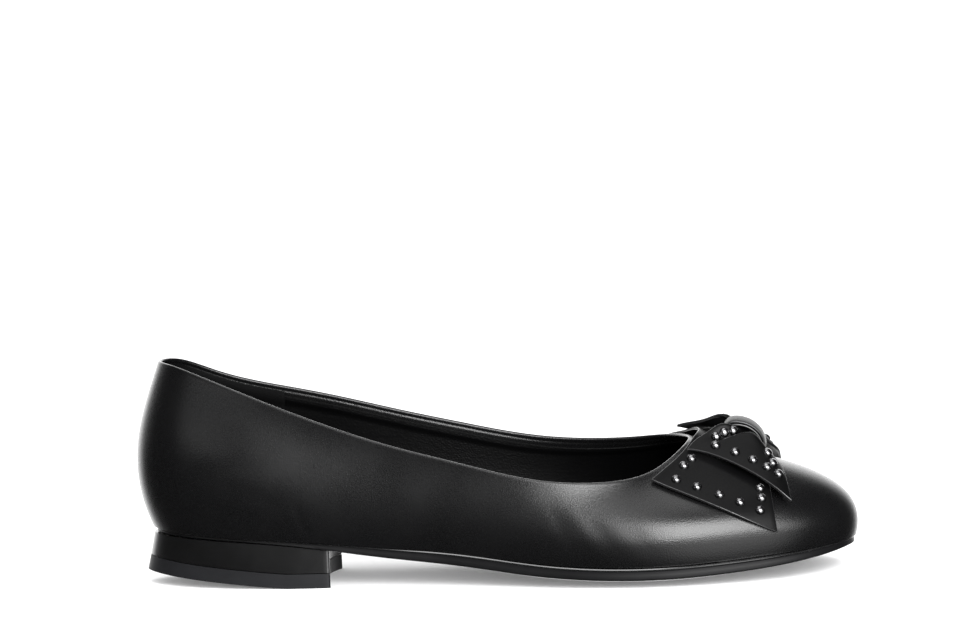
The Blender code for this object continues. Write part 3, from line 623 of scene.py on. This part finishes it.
lining_leather = leather_finish(
    "lining_leather",
    (0.0006, 0.0006, 0.0007),
    (0.0014, 0.0014, 0.0015),
    pebble=0.00060,
    depth=0.00007,
    gloss=0.40,
    specular=0.11,
)
LINING_TOP = 0.0030
LINING = 0.00055
LINING_GAP = 0.00002
fold_under = WALL * 0.98
lining_down = np.r_[LINING_TOP, LINING_TOP + 0.0002, 0.0040, FOLD_DEPTH, FOLD_DEPTH + 0.0008]
lining_depth = np.r_[fold_under, fold_under, fold_under, fold_under, LEATHER]
lining_steps = np.linspace(0.0, 1.0, 26)[1:]
lining_outer, lining_inner = [], []
for distance, depth in zip(lining_down, lining_depth):
    lining_outer.append(at_depth(distance, depth + LINING_GAP))
    rounding = LINING * (0.6 if distance == LINING_TOP else 1.0)
    lining_inner.append(at_depth(distance, depth + rounding))
for share in lining_steps:
    distance = lining_down[-1] + (wall_length - 0.0012 - lining_down[-1]) * share
    lining_outer.append(at_depth(distance, LEATHER + LINING_GAP))
    lining_inner.append(at_depth(distance, LEATHER + LINING))
lining_rings = np.array(lining_outer + lining_inner[::-1])
lining = add_piece(
    "upper_lining", lining_rings, tube_faces(len(lining_rings), ROUND_COLUMNS), [lining_leather]
)
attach(lining, "root")


# Heel grip. A second, softer piece of leather round the inside of the counter, up to the fold,
# which stops the heel slipping. Its front edges stand as a low step on each side.

GRIP_FRONT = -0.0110
GRIP_TOP = 0.0013
GRIP_THICKNESS = 0.0005
middle_row = plain_skin[WALL_ROWS // 2, :, 0]
grip_columns = np.flatnonzero(middle_row < GRIP_FRONT)
grip_order = np.r_[
    grip_columns[grip_columns > ROUND_COLUMNS // 2], grip_columns[grip_columns < ROUND_COLUMNS // 2]
]
grip_rows = []
for share in np.linspace(0.0, 1.0, 30):
    distance = GRIP_TOP + (wall_length - 0.0040 - GRIP_TOP) * share
    swell = np.interp(distance, (0.0028, 0.0034, 0.0048, 0.0058), (0.0, LINING, LINING, 0.0))
    depth = WALL * 1.06 + GRIP_THICKNESS / 2 + swell
    grip_rows.append(at_depth(distance, depth)[grip_order])
grip_grid = np.array(grip_rows)


def sheet_faces(rows, columns):
    """Quads of an open grid of points."""
    index = np.arange(rows * columns).reshape(rows, columns)
    return np.stack(
        [index[:-1, :-1], index[1:, :-1], index[1:, 1:], index[:-1, 1:]], axis=-1
    ).reshape(-1, 4)


def add_sheet(name, grid, thickness, finishes, rim, bevel_steps=2):
    """A sheet of even thickness about a grid of points, with its rims rounded. The second finish
    is that of the rim, and the third that of its rounded corners."""
    piece = add_piece(name, grid, sheet_faces(*grid.shape[:2]), finishes)
    solid = piece.modifiers.new("thickness", "SOLIDIFY")
    solid.thickness, solid.offset = thickness, 0.0
    solid.use_even_offset = True
    solid.material_offset_rim = 1 if len(finishes) > 1 else 0
    rounding = piece.modifiers.new("rim", "BEVEL")
    rounding.width, rounding.segments = rim, bevel_steps
    rounding.limit_method, rounding.angle_limit = "ANGLE", math.radians(50)
    rounding.use_clamp_overlap = False
    rounding.material = len(finishes) - 1
    return piece


grip_leather = leather_finish(
    "grip_leather",
    (0.0012, 0.0012, 0.0013),
    (0.0022, 0.0022, 0.0023),
    pebble=0.00045,
    depth=0.00003,
    gloss=0.55,
    specular=0.05,
)
grip = add_sheet("heel_grip", grip_grid[::-1], GRIP_THICKNESS, [grip_leather], 0.00018)
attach(grip, "root")


# Sock. Black leather over the insole board, cut to the bottom of the last, and slightly padded.

SOCK_LIFT = GAP + WALL + GAP
SOCK_THICKNESS = 0.0022
SOCK_INSET = 0.0007


def share_ring(foot, share, lift):
    """A ring on the last's bottom at a share of the way in to the shoe's middle line."""
    ring = foot[:, :2] + inward_way(foot) * np.reshape(share, (-1, 1))
    crown = sole_edge(ring[:, 0])[2] * (1.0 - (1.0 - np.clip(share, 0.0, 1.0)) ** 2)
    return np.c_[ring, sole_top(ring[:, 0]) - crown + lift]


def close_piece(name, rings, finishes, smooth_angle=45.0, bead=()):
    """A piece from rings that run in to the middle line on both faces, its doubled points merged.
    The faces from the bead's first ring to its last take the second finish."""
    count = rings.shape[1]
    piece = add_piece(name, rings, tube_faces(len(rings), count, False), finishes, smooth_angle)
    if bead:
        slots = np.zeros(len(rings) - 1, dtype=int)
        slots[slice(*bead)] = 1
        piece.data.polygons.foreach_set("material_index", np.repeat(slots, count))
    mend(piece, 2e-6)
    piece.data.set_sharp_from_angle(angle=math.radians(smooth_angle))
    return piece


_, sock_edge = foot_ring(foot_line, WALL + SOCK_INSET)
sock_shares = [sock_edge + (1.0 - sock_edge) * s for s in np.linspace(0.0, 1.0, 12)]
sock_rings = [share_ring(foot_line, share, SOCK_LIFT) for share in sock_shares[::-1]]
sock_rings.append(share_ring(foot_line, sock_edge, SOCK_LIFT + SOCK_THICKNESS * 0.7))
for share, rise in zip(sock_shares, (0.93, *([1.0] * 11))):
    inward = np.clip((share - sock_edge) / 0.15, 0.0, 1.0)
    lift = SOCK_LIFT + SOCK_THICKNESS * rise + 0.0003 * inward**2 * (3 - 2 * inward)
    sock_rings.append(share_ring(foot_line, share, lift))
sock = close_piece("sock", np.array(sock_rings), [lining_leather])
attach(sock, "root")
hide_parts("insole")


# Outsole. Moulded black rubber, cemented under the upper. Its edge is trimmed and inked, with a
# polished bead along the top; its underside is plain with a fine skin.

outsole_rubber, rubber_shade, rubber_shader = new_finish("outsole_rubber", Specular_IOR_Level=0.26)
rubber_skin = rubber_shade.noise(1800.0, 3.0)
rubber_wear = rubber_shade.noise(70.0, 3.0)
connect(
    rubber_shade,
    rubber_shader,
    Base_Color=rubber_wear.tint((0.0022, 0.0022, 0.0024), (0.0050, 0.0050, 0.0056)),
    Roughness=0.34 + rubber_wear * 0.16,
    Normal=rubber_shade.node("Bump", {"Strength": 0.6, "Distance": 0.00002, "Height": rubber_skin}),
)
EDGE_WIDTH = 0.0042
EDGE_PROFILE = (
    # in from the outermost line, down the edge as a share of its thickness
    (0.0040, 0.00),
    (0.0014, 0.00),
    (0.0010, -0.01),
    (0.0008, -0.07),
    (0.0005, -0.11),
    (0.0002, -0.09),
    (0.0000, -0.01),
    (0.00005, 0.08),
    (0.00025, 0.14),
    (0.0003, 0.22),
    (0.0002, 0.50),
    (0.0001, 0.80),
    (0.0002, 0.90),
    (0.0005, 0.97),
    (0.0009, 1.00),
    (0.0020, 1.01),
)
sole_depth, sole_reach, _ = sole_edge(foot_line[:, 0])
sole_depth, sole_reach = sole_depth.copy(), sole_reach.copy()


def edge_ring(inward, down):
    """A ring of the sole's edge: in from its outermost line, and down a share of its thickness."""
    ring = bottom_ring(foot_line, inward - sole_reach)
    ring[:, 2] = np.maximum(ring[:, 2] - down * sole_depth, 0.0)
    return ring


_, sole_inner = foot_ring(foot_line, EDGE_WIDTH - sole_reach)
sole_rings = [
    share_ring(foot_line, sole_inner + (1.0 - sole_inner) * s, 0.0) for s in (1.0, 0.5, 0.2)
]
sole_rings += [edge_ring(inward, down) for inward, down in EDGE_PROFILE]
for s in np.linspace(0.0, 1.0, 14):
    share = sole_inner + (1.0 - sole_inner) * s
    ring = share_ring(foot_line, share, 0.0)
    ring[:, 2] = np.maximum(ring[:, 2] - sole_edge(ring[:, 0])[0], 0.0)
    sole_rings.append(ring)
bead_polish, bead_shade, bead_shader = new_finish("bead_polish", Specular_IOR_Level=0.8, IOR=2.1)
bead_haze = bead_shade.noise(160.0, 3.0)
connect(
    bead_shade,
    bead_shader,
    Base_Color=bead_haze.tint((0.004, 0.004, 0.0042), (0.010, 0.010, 0.0105)),
    Roughness=0.10 + bead_haze * 0.12,
)
outsole = close_piece(
    "outsole_edge", np.array(sole_rings), [outsole_rubber, bead_polish], 35.0, bead=(5, 10)
)
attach(outsole, "root")
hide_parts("outsole")


# Heel. A low block, covered in glossy black, hollow at its breast and with its front corners
# rounded and painted lighter as a highlight, and under it a rubber top piece, cut flush and nailed
# on.

# A lighter, glossier finish for the heel's breast corners, the rounded corners of the bow strips'
# rims and the knot's cut edges: its lighter colour is a painted highlight along these edges.
painted_edge_highlight, corner_shade, corner_shader = new_finish("painted_edge_highlight", Specular_IOR_Level=0.9)
highlight_mottle = corner_shade.noise(900.0, 3.0)
connect(
    corner_shade,
    corner_shader,
    Base_Color=highlight_mottle.tint((0.003, 0.003, 0.0032), (0.018, 0.018, 0.019)),
    Roughness=0.24 + highlight_mottle * 0.16,
)

HEEL_INSET = 0.0003
HEEL_TAPER = 0.0025
BREAST_HOLLOW = 0.0045
TOP_PIECE = 0.0053
BLOCK_FLARE = 0.0016
TOP_PIECE_FLARE = 0.0028
HEEL_BACK_LIFT = 0.0050
CORNER = 0.0014
CORNER_FACES = 5
heel_forward = np.clip((foot_line[:, 0] - BACK_X) / HEEL_LENGTH, 0.0, 1.0)
heel_ring, _ = foot_ring(foot_line, HEEL_INSET + HEEL_TAPER * heel_forward**2)
half_round = ROUND_COLUMNS // 2
heel_outer = heel_ring[: half_round + 1]
heel_inner = np.r_[heel_ring[half_round:], heel_ring[:1]][::-1]
heel_back = heel_outer[0, 0]
breast_x = BACK_X + HEEL_LENGTH


def heel_plan(rows, columns):
    """The heel's plan as a grid from its back to its breast and from the outer to the inner side.
    The breast is a shallow curve with a quarter round at each corner."""
    s = np.linspace(0.0, 1.0, rows)[:, None] ** 1.5
    t = (0.5 - 0.5 * np.cos(np.linspace(0.0, math.pi, columns)))[None, :]
    width = np.interp(breast_x, *heel_inner.T) - np.interp(breast_x, *heel_outer.T)
    from_side = np.minimum(t, 1.0 - t) * width
    corner = CORNER - np.sqrt(CORNER**2 - np.clip(CORNER - from_side, 0.0, CORNER) ** 2)
    front = breast_x - BREAST_HOLLOW * 4 * t * (1 - t) - corner
    x = heel_back + (front - heel_back) * s
    outer_y = np.interp(x, *heel_outer.T)
    inner_y = np.interp(x, *heel_inner.T)
    return np.stack([x, outer_y + (inner_y - outer_y) * t], axis=-1)


def floor_lift(x):
    """Height of the heel's underside: flat under its front and rising to the back."""
    behind = np.clip((-HEEL_FLAT / 2 - x) / (-HEEL_FLAT / 2 - BACK_X), 0.0, None)
    return HEEL_BACK_LIFT * behind**1.1


def add_heel_layer(name, finishes, upper_face, lower_face, bevel):
    """A layer of the heel between two faces over its plan, with its edges rounded. The breast's
    corners take the second finish, which on the block paints a highlight there."""
    plan = heel_plan(64, 40)
    forward = (plan[..., 0] - heel_back) / HEEL_LENGTH
    faces = []
    for height, flare in (upper_face, lower_face):
        x = plan[..., 0] - flare * (1.0 - forward) ** 2
        faces.append(np.stack([x, plan[..., 1], height(plan[..., 0])], axis=-1))
    rows, columns = plan.shape[:2]
    index = np.arange(rows * columns).reshape(rows, columns)
    rim = np.r_[index[:, 0], index[-1, 1:], index[-2::-1, -1]]
    wall = np.stack([rim[:-1], rim[1:], rim[1:] + rows * columns, rim[:-1] + rows * columns], -1)
    quads = sheet_faces(rows, columns)
    all_faces = np.r_[quads, quads[:, ::-1] + rows * columns, wall]
    piece = add_piece(name, np.array(faces), all_faces, finishes, 30.0)
    slots = np.zeros(len(all_faces), dtype=int)
    breast = len(quads) * 2 + rows - 1
    breast_end = breast + columns - 1
    slots[breast : breast + CORNER_FACES] = len(finishes) - 1
    slots[breast_end - CORNER_FACES : breast_end] = len(finishes) - 1
    piece.data.polygons.foreach_set("material_index", slots)
    mend(piece, 2e-6)
    rounding = piece.modifiers.new("rounding", "BEVEL")
    rounding.width, rounding.segments = bevel, 3
    rounding.limit_method, rounding.angle_limit = "ANGLE", math.radians(60)
    return piece


heel_lacquer, lacquer_shade, lacquer_shader = new_finish(
    "heel_lacquer", Specular_IOR_Level=0.45, Coat_Weight=0.25, Coat_Roughness=0.12
)
lacquer_haze = lacquer_shade.noise(90.0, 4.0)
lacquer_ripple = lacquer_shade.noise(260.0)
connect(
    lacquer_shade,
    lacquer_shader,
    Base_Color=lacquer_haze.tint((0.0016, 0.0016, 0.0017), (0.0032, 0.0032, 0.0034)),
    Roughness=0.26 + lacquer_haze * 0.14,
    Normal=lacquer_shade.node(
        "Bump", {"Strength": 0.5, "Distance": 0.00004, "Height": lacquer_ripple}
    ),
)
wear_rubber, wear_shade, wear_shader = new_finish("wear_rubber", Specular_IOR_Level=0.25)
wear_grain = wear_shade.noise(1500.0, 3.0)
wear_cloud = wear_shade.noise(110.0, 3.0)
connect(
    wear_shade,
    wear_shader,
    Base_Color=wear_cloud.tint((0.0050, 0.0051, 0.0060), (0.0090, 0.0093, 0.0108)),
    Roughness=0.44 + wear_cloud * 0.14,
    Normal=wear_shade.node("Bump", {"Strength": 0.6, "Distance": 0.00002, "Height": wear_grain}),
)


def block_top(x):
    return sole_top(x) - sole_edge(x)[0] - GAP


def block_bottom(x):
    return floor_lift(x) + TOP_PIECE


def piece_top(x):
    return block_bottom(x) - GAP


heel_block = add_heel_layer(
    "heel_cover", [heel_lacquer, painted_edge_highlight], (block_top, 0.0), (block_bottom, BLOCK_FLARE), 0.0005
)
top_piece = add_heel_layer(
    "heel_top_piece", [wear_rubber], (piece_top, BLOCK_FLARE), (floor_lift, TOP_PIECE_FLARE), 0.0004
)
for piece, node, slot in (
    (heel_block, "heel_block", "heel_lacquer"),
    (top_piece, "top_piece", "wear_rubber"),
):
    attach(piece, "root")
    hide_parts(node)


# Bow. Two strips of smooth black leather with cut, inked edges, laid over the vamp one on the
# other, pinched together by a band and tacked down. The upper one stands up in folds.

KNOT_ALONG = 0.8485
BOW_SPREAD = 0.0430
KNOT_HEIGHT = 0.0120
KNOT_TURN = 8.5
STRIP = 0.0011
BAND = 0.0020
BOW_GAP = 0.0004
BOW_SKEW = 0.115
LOWER_FORM = (1.0, 2)
UPPER_FORM = (1.6, 4)
PLEAT_LATE = 2.2
PLEAT_RISE = 0.3
KNOT_X = BACK_X + KNOT_ALONG * LAST_LENGTH
LOWER_STRIP = (
    # rear, rear_turn, rear_lift, front, front_turn, front_lift, middle_lift, pleat, lip
    (-0.702, 52.6, 0.08, 0.293, 83.6, 0.09, 0.09, 0.0, 0.5),
    (-0.590, 42.0, 0.06, 0.258, 65.0, 0.06, 0.06, 0.0, 0.5),
    (-0.462, 27.0, 0.09, 0.215, 43.0, 0.05, 0.05, 0.0, 0.5),
    (-0.379, 12.0, 0.20, 0.140, 20.0, 0.05, 0.06, 0.0, 0.5),
    (-0.349, 0.0, 0.22, 0.105, 0.0, 0.05, 0.06, 0.0, 0.5),
)
UPPER_STRIP = (
    # the same sizes as the lower strip's
    (-0.426, 27.5, 0.20, 0.407, 64.0, 0.29, 0.33, 0.00, 0.20),
    (-0.365, 21.5, 0.34, 0.360, 45.0, 0.32, 0.42, 0.02, 0.22),
    (-0.265, 16.5, 0.54, 0.300, 29.0, 0.30, 0.55, 0.14, 0.35),
    (-0.150, 12.8, 0.76, 0.190, 17.0, 0.38, 0.74, 0.34, 0.58),
    (-0.070, 9.4, 0.60, 0.124, 10.4, 0.46, 0.65, 0.12, 0.70),
    (-0.070, 0.0, 0.46, 0.122, 0.0, 0.43, 0.63, 0.00, 0.70),
)
KNOT_LOOP = (
    # along the shoe, lift over the vamp
    (-0.092, 0.250),
    (-0.132, 0.480),
    (-0.098, 0.725),
    (-0.028, 0.855),
    (0.070, 0.850),
    (0.147, 0.675),
    (0.173, 0.430),
    (0.125, 0.250),
)
AXIS_HEIGHT = SEAT_HEIGHT * 0.7
guess_places, guess_shares = np.meshgrid(np.linspace(0.28, 0.74, 116), np.linspace(-0.25, 1.0, 36))
guess_places, guess_shares = guess_places.ravel(), guess_shares.ravel()


def vamp_coordinates(places, shares):
    """x of a point of the skin, in units of 3 cm, and its turn round the axis inside the vamp."""
    point = skin(places, shares)
    turn = np.arctan2(-point[..., 1], point[..., 2] - AXIS_HEIGHT)
    return np.stack([point[..., 0] / 0.03, turn], axis=-1)


guess_table = vamp_coordinates(guess_places, guess_shares)


def vamp_place(x, turn, lift):
    """Points at x, turned from the vamp's ridge to the outer side and lifted off its skin. Newton's
    method finds the place on the skin that has that x and turn, from the nearest of a table."""
    shape = np.broadcast(x, turn, lift).shape
    x, turn, lift = (np.broadcast_to(value, shape).ravel() for value in (x, turn, lift))
    wanted = np.c_[x / 0.03, turn]
    nearest = np.concatenate([
        np.argmin(((part[:, None] - guess_table[None]) ** 2).sum(-1), axis=1)
        for part in np.array_split(wanted, max(1, len(wanted) // 1500))
    ])
    place, share = guess_places[nearest], guess_shares[nearest]
    for _ in range(12):
        here = vamp_coordinates(place, share)
        by_place = (vamp_coordinates(place + 1e-4, share) - here) / 1e-4
        by_share = (vamp_coordinates(place, share + 1e-3) - here) / 1e-3
        miss = wanted - here
        det = by_place[:, 0] * by_share[:, 1] - by_place[:, 1] * by_share[:, 0]
        step_place = (miss[:, 0] * by_share[:, 1] - miss[:, 1] * by_share[:, 0]) / det
        step_share = (by_place[:, 0] * miss[:, 1] - by_place[:, 1] * miss[:, 0]) / det
        place = place + np.clip(step_place, -0.01, 0.01)
        share = share + np.clip(step_share, -0.05, 0.05)
    way = np.stack([0.0 * turn, -np.sin(turn), np.cos(turn)], axis=-1)
    return (skin(place, share) + way * lift[:, None]).reshape(*shape, 3)


def strip_columns(rows, across):
    """A strip's columns at places across the bow, from -1 at the outer side to 1 at the inner."""
    table = np.array(rows)
    there = np.linspace(-1.0, 0.0, len(rows))
    mirrored = table.copy()
    mirrored[:, [1, 4]] *= -1.0
    mirrored[:, [0, 3]] -= BOW_SKEW * there[:, None] ** 2
    return spline(np.r_[there, -there[-2::-1]], np.r_[table, mirrored[-2::-1]], across)


def strip_surface(rows, form, across, share):
    """Middle surface of a strip: across the bow, and from its rear edge at 0 to its front at 1. It
    humps between its edges. A pleat dips in behind its lip, and the strip swells ahead of it."""
    sweep, fullness = form
    columns = strip_columns(rows, across)
    rear, rear_turn, rear_lift, front, front_turn, front_lift = np.moveaxis(columns[..., :6], -1, 0)
    middle_lift, pleat, lip = np.moveaxis(columns[..., 6:], -1, 0)
    x = KNOT_X + BOW_SPREAD * (rear + (front - rear) * share)
    turn = rear_turn + (front_turn - rear_turn) * share**sweep
    hump = 1.0 - np.abs(2.0 * share - 1.0) ** fullness
    dip = np.sin(math.pi * np.clip(share / lip, 0.0, 1.0) ** PLEAT_LATE)
    swell = np.sin(math.pi * np.clip((share - lip) / (1.0 - lip), 0.0, 1.0))
    lift = rear_lift + (front_lift - rear_lift) * share - pleat * (dip - PLEAT_RISE * swell)
    lift = lift + (middle_lift - (rear_lift + front_lift) / 2) * hump
    return vamp_place(x, np.radians(turn), lift * KNOT_HEIGHT + BOW_GAP)


bow_leather = leather_finish(
    "bow_leather",
    (0.0012, 0.0012, 0.0013),
    (0.0022, 0.0022, 0.0024),
    pebble=0.00040,
    depth=0.00002,
    gloss=0.38,
    specular=0.12,
)
cut_edge, edge_shade, edge_shader = new_finish("inked_edge", Specular_IOR_Level=0.3)
edge_fibre = edge_shade.noise(1400.0, 3.0)
connect(
    edge_shade,
    edge_shader,
    Base_Color=edge_fibre.tint((0.003, 0.003, 0.0032), (0.012, 0.012, 0.0125)),
    Roughness=0.42 + edge_fibre * 0.2,
    Normal=edge_shade.node("Bump", {"Strength": 0.7, "Distance": 0.00004, "Height": edge_fibre}),
)

strips = {}
for name, rows, form, across_steps, behind_steps, ahead_steps in (
    ("lower", LOWER_STRIP, LOWER_FORM, 121, 20, 21),
    ("upper", UPPER_STRIP, UPPER_FORM, 161, 36, 32),
):
    across = np.linspace(-1.0, 1.0, across_steps)[:, None]
    lip = strip_columns(rows, across)[..., 8]
    behind = lip * np.r_[0.0, np.linspace(0.06, 1.0, behind_steps, endpoint=False)]
    ahead = lip + (1.0 - lip) * np.r_[np.linspace(0.0, 0.9, ahead_steps), 1.0]
    share = np.hstack([behind, ahead])
    strips[name] = strip_surface(rows, form, across + 0.0 * share, share)
    # The rounded corners of each strip's rims take the painted edge highlight.
    strip_finishes = [bow_leather, cut_edge, painted_edge_highlight]
    strip = add_sheet(f"bow_{name}_strip", strips[name], STRIP, strip_finishes, 0.00024)
    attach(strip, "root")
    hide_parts("bow_" + name)


# Knot. A doubled band of the same leather round both strips; the cut edges of its two layers are
# painted lighter as a highlight, two light lines with a dark one between them.

HALF_SECTION = (
    # place across the band, place through it, cut edge with its painted highlight from here on
    (0.00, 0.50, 0), (0.45, 0.50, 0), (0.84, 0.48, 0), (0.94, 0.45, 1), (0.985, 0.40, 1),
    (1.00, 0.30, 1), (0.99, 0.16, 1), (0.965, 0.08, 0), (0.90, 0.00, 0), (0.965, -0.08, 1),
    (0.99, -0.16, 1), (1.00, -0.32, 1), (0.98, -0.42, 1), (0.92, -0.48, 0), (0.50, -0.50, 0),
)
BAND_SECTION = HALF_SECTION + ((0.0, -0.50, 0),) + tuple(
    (-across, through, cut_next) for (across, through, _), (_, _, cut_next) in zip(
        HALF_SECTION[:0:-1], HALF_SECTION[-2::-1]
    )
)
LOOP_COLUMNS = 160
loop_places = np.arange(LOOP_COLUMNS) / LOOP_COLUMNS
loop = spline(np.arange(len(KNOT_LOOP)) / len(KNOT_LOOP), KNOT_LOOP, loop_places, closed=True)
loop = loop * np.array([BOW_SPREAD, KNOT_HEIGHT])
loop_way = np.roll(loop, -1, axis=0) - np.roll(loop, 1, axis=0)
loop_out = np.c_[-loop_way[:, 1], loop_way[:, 0]] / np.linalg.norm(loop_way, axis=1)[:, None]
band_rings = []
for across, through, _ in BAND_SECTION:
    place = loop + loop_out * through * BAND
    band_rings.append(
        vamp_place(KNOT_X + place[:, 0], math.radians(KNOT_TURN * across), place[:, 1])
    )
band_faces = tube_faces(len(band_rings), LOOP_COLUMNS)
knot = add_piece("bow_knot_band", band_rings, band_faces, [bow_leather, painted_edge_highlight], 70.0)
band_slots = np.repeat([cut for *_, cut in BAND_SECTION], LOOP_COLUMNS)
knot.data.polygons.foreach_set("material_index", band_slots)
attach(knot, "root")
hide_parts("bow_knot")


# Studs. Small domes of polished dark metal, pronged through the strips along their edges.

STUD_DIAMETER = 0.0035
STUD_HEIGHT = 0.0016
STUD_SINK = 0.0002
STUD_SEARCH = 0.0040
stud_names = sorted(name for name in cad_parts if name.startswith("stud_"))
dome_turns = np.linspace(0.0, 2.0 * math.pi, 29)[:-1]
DOME = (
    # share of the radius, share of the height
    (1.00, 0.00), (1.00, 0.14), (0.985, 0.26), (0.95, 0.38), (0.89, 0.52), (0.80, 0.66),
    (0.68, 0.78), (0.53, 0.88), (0.36, 0.95), (0.18, 0.99), (0.0001, 1.00),
)
dome_rings = np.array([
    np.stack(
        [
            np.cos(dome_turns) * out * STUD_DIAMETER / 2,
            np.sin(dome_turns) * out * STUD_DIAMETER / 2,
            0.0 * dome_turns + rise * STUD_HEIGHT,
        ],
        axis=-1,
    )
    for out, rise in DOME
]).reshape(-1, 3)
strip_trees = {
    name: BVHTree.FromPolygons(grid.reshape(-1, 3).tolist(), sheet_faces(*grid.shape[:2]).tolist())
    for name, grid in strips.items()
}
stud_points, stud_faces = [], []
one_stud = tube_faces(len(DOME), len(dome_turns), False)
for name in stud_names:
    corners = np.array([vertex.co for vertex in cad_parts[name].data.vertices])
    corners = np.unique(corners.round(7), axis=0)
    middle = corners.mean(axis=0)
    axis = np.linalg.svd(corners - middle)[2][2]
    axis *= math.copysign(1.0, axis[2])
    side = np.cross(axis, (1.0, 0.0, 0.0))
    side /= np.linalg.norm(side)
    turn = np.array([side, np.cross(axis, side), axis])
    above = Vector(middle + axis * STUD_SEARCH)
    hit, normal, _, _ = strip_trees[name.split("_")[1]].ray_cast(above, Vector(-axis))
    foot = np.array(hit) + axis * (STRIP / 2 / abs(normal.dot(axis)) - STUD_SINK)
    stud_faces.append(one_stud + len(dome_rings) * len(stud_points))
    stud_points.append(dome_rings @ turn + foot)
gunmetal, metal_shade, metal_shader = new_finish("gunmetal", Metallic=1.0)
metal_haze = metal_shade.noise(500.0)
connect(
    metal_shade,
    metal_shader,
    Base_Color=metal_haze.tint((0.19, 0.19, 0.195), (0.28, 0.28, 0.285)),
    Roughness=0.17 + metal_haze * 0.10,
)
studs = add_piece("bow_studs", np.array(stud_points), np.concatenate(stud_faces), [gunmetal], 60.0)
mend(studs, 1e-6, close_holes=True)
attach(studs, "root")
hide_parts(*stud_names)
